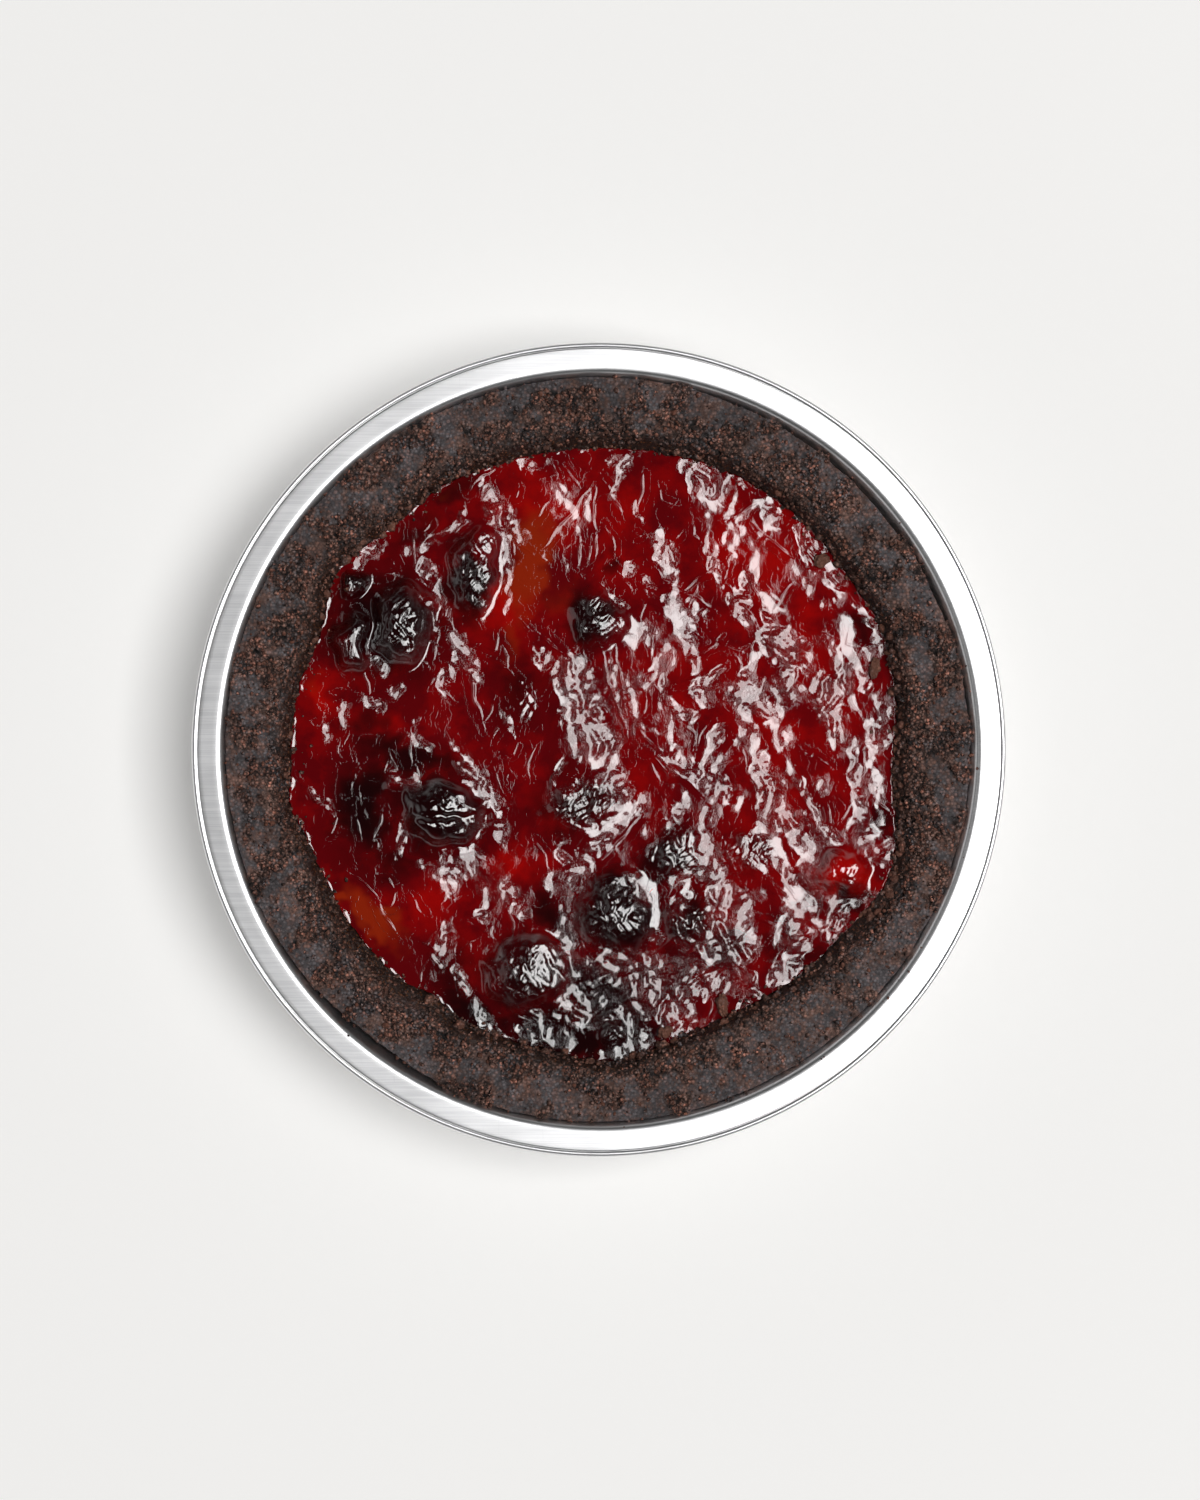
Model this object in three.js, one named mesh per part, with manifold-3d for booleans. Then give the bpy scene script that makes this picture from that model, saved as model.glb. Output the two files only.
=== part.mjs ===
// Black forest pie in its tin: a pressed chocolate crumb crust filled with whole dark cherries set in
// red cherry jelly, in a plain aluminium pan with a flat rim and a rolled bead.
// Millimetres, +Z up. The origin is the centre of the pan's underside, where it rests on the table.
import * as THREE from "three";
import { mergeVertices } from "three/addons/utils/BufferGeometryUtils.js";
import Module from "manifold-3d";

const wasm = await Module();
wasm.setup();

// The pan: nine inches across the mouth, one and a half deep.
const tinRimRadius = 123.8;
const tinMouthRadius = 115.0; // where the inside wall's line meets the flat rim's
const tinFootRadius = 92.5; // where the same line meets the table
const tinHeight = 38.1;
const tinSheet = 1.0;
const tinTurns = 64; // flat faces round the pan
const flangeDrop = 0.2; // the flat rim lies this far below the top of the bead
const beadRadius = 0.9;
const grooveDepth = 0.1; // a crease between the bead and the flat rim
const grooveWidth = 0.4;
const footBend = 4.0; // how far from the corner each bend starts
const mouthBend = 1.5;

// The crust and the jelly in it. Heights are above the table.
const clearance = 0.3; // between any two pieces
const crustTop = 36.5;
const crustFloor = 9.5;
const crustCrown = 0.3; // the top swells this much between its edges
const crustTilt = 0.7; // the left stands this much higher than the middle, the right lower
const shoulderDrop = 0.5; // below the crust's top edge, where it leaves the pan
const jellyLevel = 28.5;
const jellyEdgeRadius = 93.0;
const jellyWallLean = 0.36; // the crust's inside wall leans out by this for each millimetre up
const jellyRings = 17;
const columns = 6 * jellyRings; // round the crust and the jelly's edge

// The pie isn't quite round. Each entry is a bearing and a width in degrees, anticlockwise from the
// right seen from above, and how far the edge moves out there (by) in millimetres.
const jellyBays = [
  { bearing: 336, width: 10, by: 4.0 },
  { bearing: 357, width: 10, by: -2.8 },
  { bearing: 296, width: 13, by: -2.4 },
  { bearing: 272, width: 8, by: 2.8 },
  { bearing: 236, width: 4, by: -2.4 },
  { bearing: 190, width: 5, by: 2.6 },
  { bearing: 178, width: 14, by: 1.2 },
  { bearing: 156, width: 7, by: -1.2 },
  { bearing: 146, width: 8, by: 4.0 },
  { bearing: 122, width: 10, by: 0.8 },
  { bearing: 90, width: 20, by: -0.6 },
  { bearing: 60, width: 16, by: 1.0 },
  { bearing: 23, width: 5, by: 1.8 },
];
const innerSlope = 2.9; // how wide the crust's inside slope shows from above
const slopeBays = [
  { bearing: 335, width: 24, by: 4.0 },
  { bearing: 270, width: 20, by: -1.4 },
  { bearing: 228, width: 13, by: 6.0 },
  { bearing: 156, width: 10, by: 2.4 },
  { bearing: 88, width: 26, by: 1.4 },
];
const cragDepth = 0.4; // how far the crust's crags lie below its smooth shape on average
const lipWander = 0.6; // how far the crust's inner top edge wanders in and out
const edgeWander = 0.4; // and how far its outer one wanders in
const crustShrink = 0.1; // between the crust's top edge and the pan
const shrinkBays = [
  { bearing: 232, width: 13, by: 2.6 },
  { bearing: 38, width: 26, by: 1.4 },
  { bearing: 0, width: 40, by: 0.4 },
];

// Whole cherries: where each one lies, its half sizes, how far it stands above the jelly's level,
// and how far it is turned, in degrees.
const cherries = [
  { at: [-59.0, 38.5], half: [10.6, 13.6, 8.0], rise: 4.6, turn: -6 },
  { at: [-76.3, 32.3], half: [6.2, 11.2, 6.0], rise: 3.6, turn: -4 },
  { at: [-75.6, 50.6], half: [4.4, 4.6, 4.2], rise: 3.4, turn: 0 },
  { at: [-37.0, 54.5], half: [8.2, 14.6, 7.0], rise: 3.6, turn: 4 },
  { at: [0.6, 40.0], half: [8.8, 10.2, 7.0], rise: 3.2, turn: -20 },
  { at: [-23.5, 15.0], half: [7.2, 10.8, 6.5], rise: 1.5, turn: 12 },
  { at: [-48.2, -19.6], half: [13.6, 11.2, 8.0], rise: 4.4, turn: -14 },
  { at: [-72.8, -16.8], half: [8.6, 15.6, 6.5], rise: 1.6, turn: 3 },
  { at: [-4.8, -17.8], half: [12.8, 9.8, 7.5], rise: 2.5, turn: 8 },
  { at: [5.2, -50.4], half: [13.2, 13.0, 8.0], rise: 4.4, turn: 30 },
  { at: [-21.7, -68.0], half: [13.8, 12.2, 8.0], rise: 4.2, turn: -18 },
  { at: [28.2, -53.0], half: [7.6, 8.8, 6.5], rise: 2.2, turn: 0 },
  { at: [23.6, -33.0], half: [11.0, 8.8, 6.5], rise: 1.9, turn: 15 },
  { at: [45.9, -30.8], half: [10.0, 8.2, 6.5], rise: 1.8, turn: -10 },
  { at: [75.0, -37.2], half: [8.0, 8.4, 6.5], rise: 3.6, turn: 25 },
  { at: [3.6, -84.6], half: [4.0, 5.4, 4.0], rise: 2.0, turn: 0 },
];
const cherryTurns = 12;
const cherryRows = 7;
const jellyClimb = 0.3; // round a cherry's outline the jelly climbs this share of its rise

// Crumbs broken off the crust, lying on the jelly: place, half sizes and turn.
const strayCrumbs = [
  { at: [68.4, 58.0], half: [2.4, 2.0, 1.5], turn: 20 },
  { at: [38.0, -78.4], half: [1.7, 3.2, 1.3], turn: 8 },
  { at: [84.6, 25.0], half: [1.5, 3.0, 1.2], turn: -12 },
  { at: [20.3, -86.6], half: [2.2, 1.6, 1.2], turn: 15 },
];

// Colours and finishes.
const aluminium = new THREE.MeshStandardMaterial({
  color: "#d6d6d8",
  roughness: 0.35,
  metalness: 1,
});
const crumb = new THREE.MeshStandardMaterial({ color: "#332a28", roughness: 0.9 });
const jelly = new THREE.MeshStandardMaterial({ color: "#74040b", roughness: 0.12 });
const cherrySkin = new THREE.MeshStandardMaterial({ color: "#22070b", roughness: 0.15 });

// One value from 0 to 1 for each point of a whole-number lattice, always the same.
function latticeValue(i, j) {
  const scattered = Math.sin(i * 127.1 + j * 311.7) * 43758.5453;
  return scattered - Math.floor(scattered);
}

// Smooth lumps from -1 to 1, about one unit apart.
function lumps(x, y) {
  const [i, j] = [Math.floor(x), Math.floor(y)];
  const [u, v] = [THREE.MathUtils.smoothstep(x - i, 0, 1), THREE.MathUtils.smoothstep(y - j, 0, 1)];
  const near = THREE.MathUtils.lerp(latticeValue(i, j), latticeValue(i + 1, j), u);
  const far = THREE.MathUtils.lerp(latticeValue(i, j + 1), latticeValue(i + 1, j + 1), u);
  return 2 * THREE.MathUtils.lerp(near, far, v) - 1;
}

// 1 at one bearing round the pie, in degrees, falling away over width degrees on both sides.
function hump(bearing, centre, width) {
  const away = ((bearing - centre + 540) % 360) - 180;
  return Math.exp(-((away / width) ** 2));
}

// A measure that is base all round, apart from its bays.
const withBays = (base, bays, bearing) =>
  bays.reduce((sum, bay) => sum + bay.by * hump(bearing, bay.bearing, bay.width), base);

const cosine = (bearing) => Math.cos(THREE.MathUtils.degToRad(bearing));
const sine = (bearing) => Math.sin(THREE.MathUtils.degToRad(bearing));

// An outline through corners [radius, height, setback]. A corner with a setback becomes a smooth bend
// that starts and ends that far from it.
function bentOutline(corners, steps = 3) {
  const points = corners.map(([radius, height]) => new THREE.Vector2(radius, height));
  return corners.flatMap(([, , setback], i) => {
    if (!setback) return [points[i]];
    const towards = (other) => other.clone().sub(points[i]).setLength(setback).add(points[i]);
    const bend = new THREE.QuadraticBezierCurve(
      towards(points[i - 1]),
      points[i],
      towards(points[i + 1]),
    );
    return bend.getPoints(steps);
  });
}

function geometryOf(points, triangles) {
  const geometry = new THREE.BufferGeometry().setFromPoints(points);
  geometry.setIndex(triangles.flat());
  return geometry;
}

// A closed solid from one outline for each bearing. Every outline starts and ends on the axis, runs
// out along the underside, up the outside and back in over the top.
function roundSolid(turns, outlineAt) {
  const outlines = Array.from({ length: turns }, (_, turn) => outlineAt((360 * turn) / turns));
  const last = outlines[0].length - 1;
  const points = [
    new THREE.Vector3(0, 0, outlines[0][0].y),
    new THREE.Vector3(0, 0, outlines[0][last].y),
  ];
  outlines.forEach((outline, turn) => {
    const bearing = (360 * turn) / turns;
    for (const { x: radius, y: height } of outline.slice(1, last)) {
      points.push(new THREE.Vector3(radius * cosine(bearing), radius * sine(bearing), height));
    }
  });
  const indexOf = (row, turn) => {
    if (row === 0) return 0;
    if (row === last) return 1;
    return 2 + (turn % turns) * (last - 1) + row - 1;
  };
  const triangles = [];
  for (let turn = 0; turn < turns; turn++) {
    for (let row = 0; row < last; row++) {
      const [a, b] = [indexOf(row, turn), indexOf(row, turn + 1)];
      const [d, c] = [indexOf(row + 1, turn), indexOf(row + 1, turn + 1)];
      if (a !== b) triangles.push([a, b, c]);
      if (c !== d) triangles.push([a, c, d]);
    }
  }
  return geometryOf(points, triangles);
}

// The pan.
const flangeTop = tinHeight - flangeDrop;
const wallLean = (tinMouthRadius - tinFootRadius) / flangeTop;
const acrossWall = Math.hypot(1, wallLean); // level distance for each millimetre square to the wall
const wallRadius = (height) => tinMouthRadius - wallLean * (flangeTop - height);

function makeTin() {
  const wallAcross = tinSheet * acrossWall;
  const flangeUnder = flangeTop - tinSheet;
  const grooveFloor = flangeTop - grooveDepth;
  const bead = new THREE.Vector2(tinRimRadius - beadRadius, tinHeight - beadRadius);
  const meets = (height) => Math.PI - Math.asin((height - bead.y) / beadRadius);
  const curl = new THREE.EllipseCurve(
    bead.x,
    bead.y,
    beadRadius,
    beadRadius,
    meets(flangeUnder) - 2 * Math.PI,
    meets(grooveFloor),
  ).getPoints(7);
  const grooveRadius = curl[curl.length - 1].x;
  const outside = bentOutline([
    [0, 0],
    [wallRadius(0) + wallAcross, 0, footBend],
    [wallRadius(flangeUnder) + wallAcross, flangeUnder],
  ]);
  const inside = bentOutline([
    [grooveRadius - grooveWidth / 2, grooveFloor],
    [grooveRadius - grooveWidth, flangeTop],
    [tinMouthRadius, flangeTop, mouthBend],
    [wallRadius(tinSheet), tinSheet, footBend],
    [0, tinSheet],
  ]);
  return roundSolid(tinTurns, () => [...outside, ...curl, ...inside]);
}

// Where the jelly meets the crust, how wide the crust's inside slope is and how far the crust has
// shrunk from the pan, at each bearing.
const jellyEdge = (bearing) => withBays(jellyEdgeRadius, jellyBays, bearing);
const slopeWidth = (bearing) => withBays(innerSlope, slopeBays, bearing);
const shrinkGap = (bearing) => withBays(crustShrink, shrinkBays, bearing);
const crustRim = (bearing) => crustTop - crustTilt * cosine(bearing);

// Crags in the crust's face, broad ones and crumbly ones, more of them pits than peaks.
const crags = (x, y) => 0.5 * lumps(x / 13, y / 13) + 0.8 * lumps(x / 6, y / 6) - cragDepth;

// How far (x, y) is from a cherry's middle, where 1 is its widest outline.
function cherryDistance({ at, half, turn }, x, y) {
  const [dx, dy] = [x - at[0], y - at[1]];
  const along = dx * cosine(turn) + dy * sine(turn);
  const across = dy * cosine(turn) - dx * sine(turn);
  return Math.hypot(along / half[0], across / half[1]);
}

// The jelly's height: level, slowly swelling, and climbing a little at each cherry's outline.
function jellyHeight(x, y) {
  const swell = 0.6 * lumps(x / 19 + 7, y / 19) + 0.5 * lumps(x / 9, y / 9 + 3);
  const climbs = cherries.map(
    (cherry) => jellyClimb * cherry.rise * Math.exp(-((3 * (cherryDistance(cherry, x, y) - 1)) ** 2)),
  );
  return jellyLevel + swell + Math.max(...climbs);
}

// Unevenness from -1 to 1 round an edge, with about six times as many bumps as turns says.
const raggedness = (bearing, turns) => lumps(turns * cosine(bearing), turns * sine(bearing));

const jellyEdgeHeight = (bearing) =>
  jellyHeight(jellyEdge(bearing) * cosine(bearing), jellyEdge(bearing) * sine(bearing));
const jellyFoot = (bearing) => jellyEdge(bearing) - jellyWallLean * (jellyLevel - crustFloor);

// The crust: a bowl of pressed crumbs that follows the pan outside and holds the jelly inside.
function makeCrust() {
  const base = tinSheet + clearance;
  const againstPan = (height) => wallRadius(height) - clearance * acrossWall;
  return roundSolid(columns, (bearing) => {
    const craggy = (radius, height, share = 1) => {
      const [x, y] = [radius * cosine(bearing), radius * sine(bearing)];
      return new THREE.Vector2(radius, height + share * crags(x, y));
    };
    const rim = crustRim(bearing);
    const edge = jellyEdge(bearing) + clearance;
    const lip = edge + slopeWidth(bearing) + lipWander * raggedness(bearing, 14);
    const ragged = 0.5 * edgeWander * (1 + raggedness(bearing, 22));
    const outer = againstPan(rim - shoulderDrop) - shrinkGap(bearing) - ragged;
    const under = bentOutline([
      [0, base],
      [againstPan(base), base, footBend],
      [outer, rim - shoulderDrop],
    ]);
    const crown = [0.12, 0.31, 0.5, 0.69, 0.88].map((t) =>
      craggy(THREE.MathUtils.lerp(outer, lip, t), rim + 4 * crustCrown * t * (1 - t)),
    );
    const line = jellyEdgeHeight(bearing);
    return [
      ...under,
      craggy(outer - 0.4, rim - 0.3, 0.5),
      ...crown,
      craggy(lip, rim - 1.1, 0.8),
      craggy(THREE.MathUtils.lerp(edge, lip, 0.45), THREE.MathUtils.lerp(line, rim, 0.4), 0.6),
      new THREE.Vector2(edge, line),
      new THREE.Vector2(jellyFoot(bearing) + clearance, crustFloor),
      new THREE.Vector2(0, crustFloor),
    ];
  });
}

// The jelly before its hollows are cut: a disc of hexagonal rings, a side and a flat underside.
function makeJellyBlock() {
  const base = crustFloor + clearance;
  const points = [new THREE.Vector3(0, 0, jellyHeight(0, 0))];
  for (let ring = 1; ring <= jellyRings; ring++) {
    for (let step = 0; step < 6 * ring; step++) {
      const bearing = (60 * step) / ring;
      const radius = (jellyEdge(bearing) * ring) / jellyRings;
      const [x, y] = [radius * cosine(bearing), radius * sine(bearing)];
      points.push(new THREE.Vector3(x, y, jellyHeight(x, y)));
    }
  }
  const top = (ring, step) => (ring ? 1 + 3 * ring * (ring - 1) + (step % (6 * ring)) : 0);
  const triangles = [];
  for (let ring = 1; ring <= jellyRings; ring++) {
    for (let side = 0; side < 6; side++) {
      for (let step = 0; step < ring; step++) {
        const outer = side * ring + step;
        const inner = side * (ring - 1) + step;
        triangles.push([top(ring - 1, inner), top(ring, outer), top(ring, outer + 1)]);
        if (step < ring - 1) {
          triangles.push([top(ring - 1, inner), top(ring, outer + 1), top(ring - 1, inner + 1)]);
        }
      }
    }
  }
  const footStart = points.length;
  for (let step = 0; step < columns; step++) {
    const bearing = (360 * step) / columns;
    const radius = jellyFoot(bearing);
    points.push(new THREE.Vector3(radius * cosine(bearing), radius * sine(bearing), base));
  }
  const middle = points.push(new THREE.Vector3(0, 0, base)) - 1;
  for (let step = 0; step < columns; step++) {
    const [a, b] = [top(jellyRings, step), top(jellyRings, step + 1)];
    const [c, d] = [footStart + step, footStart + ((step + 1) % columns)];
    triangles.push([a, c, d], [a, d, b], [middle, d, c]);
  }
  return geometryOf(points, triangles);
}

// A cherry, or with grow the hollow that holds it: a round fruit with a dent at one side, a little
// uneven, standing above the jelly by its rise.
function makeCherry({ at, half, rise, turn }, seed, grow = 0) {
  const geometry = roundSolid(cherryTurns, (bearing) =>
    Array.from({ length: cherryRows + 1 }, (_, row) => {
      const down = 180 - (180 * row) / cherryRows;
      const across = sine(down);
      const dent = 0.12 * across * hump(bearing, 97 * seed, 35);
      const uneven = 1 - dent + 0.04 * across * cosine(3 * bearing + 50 * seed);
      return new THREE.Vector2(across * uneven, cosine(down));
    }),
  );
  geometry.scale(half[0] + grow, half[1] + grow, half[2] + grow);
  geometry.rotateZ(THREE.MathUtils.degToRad(turn));
  geometry.translate(at[0], at[1], jellyLevel + rise - half[2]);
  return geometry;
}

// A crumb: a rough little lump half sunk in the jelly.
function makeCrumb({ at, half, turn }) {
  const geometry = new THREE.IcosahedronGeometry(1, 0);
  geometry.scale(...half);
  geometry.rotateZ(THREE.MathUtils.degToRad(turn));
  geometry.translate(at[0], at[1], jellyHeight(...at) + half[2] / 3);
  return geometry;
}

function solidOf(geometry) {
  const bare = geometry.clone();
  bare.deleteAttribute("normal");
  bare.deleteAttribute("uv");
  const merged = mergeVertices(bare, 1e-4);
  return new wasm.Manifold(
    new wasm.Mesh({
      numProp: 3,
      vertProperties: merged.getAttribute("position").array,
      triVerts: new Uint32Array(merged.index.array),
    }),
  );
}

function geometryFrom(solid) {
  const { vertProperties, triVerts } = solid.getMesh();
  const geometry = new THREE.BufferGeometry();
  geometry.setAttribute("position", new THREE.BufferAttribute(vertProperties, 3));
  return geometry.setIndex(new THREE.BufferAttribute(triVerts, 1));
}

function makeJelly() {
  let solid = solidOf(makeJellyBlock());
  for (const stray of strayCrumbs) solid = solid.add(solidOf(makeCrumb(stray)));
  cherries.forEach((cherry, i) => {
    solid = solid.subtract(solidOf(makeCherry(cherry, i, clearance)));
  });
  return geometryFrom(solid);
}

const pie = new THREE.Group();

function addPiece(name, geometry, material) {
  geometry.computeVertexNormals();
  const mesh = new THREE.Mesh(geometry, material);
  mesh.name = name;
  pie.add(mesh);
}

addPiece("pie_tin", makeTin(), aluminium);
addPiece("crumb_crust", makeCrust(), crumb);
addPiece("cherry_jelly", makeJelly(), jelly);
cherries.forEach((cherry, i) => {
  const number = String(i + 1).padStart(2, "0");
  addPiece(`cherry_${number}`, makeCherry(cherry, i), cherrySkin);
});

export default pie;
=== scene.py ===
import bmesh
import bpy
import numpy as np
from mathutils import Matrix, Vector


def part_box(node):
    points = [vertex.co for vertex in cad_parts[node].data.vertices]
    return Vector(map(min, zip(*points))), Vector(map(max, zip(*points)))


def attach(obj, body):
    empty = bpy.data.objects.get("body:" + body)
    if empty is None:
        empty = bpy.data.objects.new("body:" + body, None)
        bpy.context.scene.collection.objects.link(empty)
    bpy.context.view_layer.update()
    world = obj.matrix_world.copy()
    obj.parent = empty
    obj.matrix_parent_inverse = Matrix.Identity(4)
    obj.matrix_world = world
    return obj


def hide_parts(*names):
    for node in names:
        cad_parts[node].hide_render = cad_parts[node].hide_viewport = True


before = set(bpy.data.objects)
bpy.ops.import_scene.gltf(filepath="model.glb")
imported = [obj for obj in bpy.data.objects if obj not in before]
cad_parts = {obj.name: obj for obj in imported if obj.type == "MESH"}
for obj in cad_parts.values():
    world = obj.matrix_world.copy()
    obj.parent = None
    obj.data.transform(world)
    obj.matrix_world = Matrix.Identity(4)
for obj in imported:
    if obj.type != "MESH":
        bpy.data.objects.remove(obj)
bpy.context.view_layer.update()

mm = 0.001
tau = 2 * np.pi
samePlace = 1e-7  # metres


def lattice(i, j, seed=0):  # one value from 0 to 1 for each whole-number point, always the same
    scattered = np.sin(i * 127.1 + j * 311.7 + seed * 74.7) * 43758.5453
    return scattered - np.floor(scattered)


def smoothStep(t, low, high):  # 0 below low, 1 above high, an S curve between
    t = np.clip((t - low) / (high - low), 0, 1)
    return t * t * (3 - 2 * t)


def mix(a, b, t):
    return a + (b - a) * t


# Value noise from -1 to 1: lattice values eased together. The solids have the same lumps.
def lumps(x, y):
    i, j = np.floor(x), np.floor(y)
    u, v = smoothStep(x - i, 0, 1), smoothStep(y - j, 0, 1)
    near = mix(lattice(i, j), lattice(i + 1, j), u)
    far = mix(lattice(i, j + 1), lattice(i + 1, j + 1), u)
    return 2 * mix(near, far, v) - 1


# Gradient noise from about -1 to 1: a random slope at each lattice point, eased together.
def noise(x, y, seed):
    i, j = np.floor(x), np.floor(y)
    u, v = x - i, y - j

    def slopeAt(di, dj):
        angle = lattice(i + di, j + dj, seed) * tau
        return np.cos(angle) * (u - di) + np.sin(angle) * (v - dj)

    easeU = u * u * u * (u * (6 * u - 15) + 10)
    easeV = v * v * v * (v * (6 * v - 15) + 10)
    near = mix(slopeAt(0, 0), slopeAt(1, 0), easeU)
    far = mix(slopeAt(0, 1), slopeAt(1, 1), easeU)
    return 1.5 * mix(near, far, easeV)


# One point is scattered in each lattice square: distance to the nearest one, and that point's value.
def cells(x, y, seed):
    i, j = np.floor(x), np.floor(y)
    nearest = np.full(np.shape(x), 9.0)
    value = np.zeros(np.shape(x))
    for di in (-1, 0, 1):
        for dj in (-1, 0, 1):
            pointX = i + di + lattice(i + di, j + dj, seed)
            pointY = j + dj + lattice(i + di, j + dj, seed + 11)
            distance = np.hypot(x - pointX, y - pointY)
            closer = distance < nearest
            value = np.where(closer, lattice(i + di, j + dj, seed + 23), value)
            nearest = np.where(closer, distance, nearest)
    return nearest, value


def bell(t):  # 1 at 0, falling evenly to either side
    return np.exp(-(t**2))


def around(bearing, radius=1.0):  # x and y of a place round the pie's middle, or of a direction in degrees
    return radius * np.cos(np.radians(bearing)), radius * np.sin(np.radians(bearing))


def turned(x, y, degrees):  # coordinates along and across a direction
    c, s = around(degrees)
    return x * c + y * s, y * c - x * s


def withBays(base, bays, bearing):  # base all round, plus each bay's amount times a bell about its bearing
    total = np.full(np.shape(bearing), float(base))
    for centre, width, amount in bays:
        away = (bearing - centre + 540) % 360 - 180
        total += amount * bell(away / width)
    return total


# points is (n, 3) in millimetres and quads (m, 4). A quad with two corners in one place becomes a triangle.
def makeMesh(name, points, quads, attributes=None, caps=(), smooth=True):
    mesh = bpy.data.meshes.new(name)
    loops = np.concatenate([quads.ravel(), *caps]).astype(np.int32)
    sizes = np.array([4] * len(quads) + [len(cap) for cap in caps])
    starts = np.concatenate([[0], np.cumsum(sizes)[:-1]]).astype(np.int32)
    mesh.vertices.add(len(points))
    mesh.vertices.foreach_set("co", (points * mm).astype(np.float32).ravel())
    mesh.loops.add(len(loops))
    mesh.loops.foreach_set("vertex_index", loops)
    mesh.polygons.add(len(sizes))
    mesh.polygons.foreach_set("loop_start", starts)
    mesh.update(calc_edges=True)
    for key, values in (attributes or {}).items():
        layer = mesh.attributes.new(key, "FLOAT", "POINT")
        layer.data.foreach_set("value", np.asarray(values, np.float32).ravel())
    bm = bmesh.new()
    bm.from_mesh(mesh)
    bmesh.ops.remove_doubles(bm, verts=bm.verts, dist=samePlace)
    bm.to_mesh(mesh)
    bm.free()
    if smooth:
        mesh.shade_smooth()
    obj = bpy.data.objects.new(name, mesh)
    bpy.context.scene.collection.objects.link(obj)
    return obj


def ringed(radius, bearing, height):  # points round the pie
    return np.stack(np.broadcast_arrays(*around(bearing, radius), height), -1)


def gridQuads(rows, columns, wrap=True):  # quads of a rows by columns grid of points, closed round if wrap
    across = columns if wrap else columns - 1
    r, c = np.meshgrid(np.arange(rows - 1), np.arange(across), indexing="ij")
    here, beside = r * columns + c, r * columns + (c + 1) % columns
    return np.stack([here, beside, beside + columns, here + columns], -1).reshape(-1, 4)


def place(obj, material, slotName, *nodes):  # all rides on the one body, and hides the solids it stands for
    obj.data.materials.append(material)
    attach(obj, "root")
    if nodes:
        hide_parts(*nodes)
    print("piece", obj.name, len(obj.data.polygons), "faces")
    return obj


class Shader:  # a node tree with short ways to add and join its nodes
    def __init__(self, tree):
        self.tree = tree

    def add(self, kind, settings=None, **inputs):
        node = self.tree.nodes.new(kind)
        for key, value in (settings or {}).items():
            setattr(node, key, value)
        self.set(node, **inputs)
        return node

    def set(self, node, **inputs):  # Base_Color stands for the socket Base Color
        for key, value in inputs.items():
            self.feed(node, key.replace("_", " "), value)

    def feed(self, node, socket, value):
        target = node.inputs[int(socket)] if socket.isdigit() else node.inputs[socket]
        if isinstance(value, bpy.types.NodeSocket):
            self.tree.links.new(value, target)
        else:
            target.default_value = value

    def math(self, operation, a, b=0.0):
        node = self.add("ShaderNodeMath", {"operation": operation})
        self.feed(node, "0", a)
        self.feed(node, "1", b)
        return node.outputs[0]

    def plus(self, a, b):
        return self.math("ADD", a, b)

    def times(self, a, b):
        return self.math("MULTIPLY", a, b)

    def vector(self, operation, a, b):
        node = self.add("ShaderNodeVectorMath", {"operation": operation})
        self.feed(node, "0", a)
        self.feed(node, "Scale" if operation == "SCALE" else "1", b)
        return node.outputs["Value" if operation == "DOT_PRODUCT" else "Vector"]

    def spread(self, value, low, high, toLow=0.0, toHigh=1.0):
        node = self.add("ShaderNodeMapRange", {"interpolation_type": "SMOOTHSTEP"}, Value=value)
        for key, number in zip(("From Min", "From Max", "To Min", "To Max"), (low, high, toLow, toHigh)):
            self.feed(node, key, number)
        return node.outputs[0]

    def blend(self, a, b, share, how="MIX"):
        node = self.add("ShaderNodeMix", {"data_type": "RGBA", "blend_type": how})
        self.feed(node, "0", share)
        self.feed(node, "6", a)
        self.feed(node, "7", b)
        return node.outputs[2]

    def between(self, a, b, share):
        return self.add("ShaderNodeMix", **{"0": share, "2": a, "3": b}).outputs[0]

    def bump(self, height, strength=1.0, unit=mm):
        return self.add("ShaderNodeBump", Strength=strength, Distance=unit, Height=height).outputs[0]

    def objectPlace(self):
        return self.add("ShaderNodeTexCoord").outputs["Object"]

    def attribute(self, name):
        return self.add("ShaderNodeAttribute", {"attribute_name": name}).outputs["Fac"]

    def scaled(self, where, turn, scale):
        turn = (0, 0, np.radians(turn))
        return self.add("ShaderNodeMapping", Vector=where, Rotation=turn, Scale=scale).outputs[0]

    def grain(self, where, size, detail=3.0, roughness=0.55, stretch=(1, 1, 1), turn=0.0):
        where = self.scaled(where, turn, [1 / (size * mm * k) for k in stretch])
        node = self.add("ShaderNodeTexNoise", Vector=where, Scale=1.0, Detail=detail, Roughness=roughness)
        return node.outputs["Fac"]


def newMaterial(name):
    material = bpy.data.materials.new(name)
    material.use_nodes = True
    shader = Shader(material.node_tree)
    return material, shader, material.node_tree.nodes["Principled BSDF"]


def newGroup(name, inputs, outputs):
    group = bpy.data.node_groups.new(name, "ShaderNodeTree")
    for key, kind, value in inputs:
        socket = group.interface.new_socket(key, in_out="INPUT", socket_type=kind)
        if value is not None:
            socket.default_value = value
    for key, kind in outputs:
        group.interface.new_socket(key, in_out="OUTPUT", socket_type=kind)
    shader = Shader(group)
    return group, shader, shader.add("NodeGroupInput"), shader.add("NodeGroupOutput")


camera = {"focal": 85, "film": 36, "aboveRim": 1076, "at": (0.38, -0.15), "rimHeight": 38.1}


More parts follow.
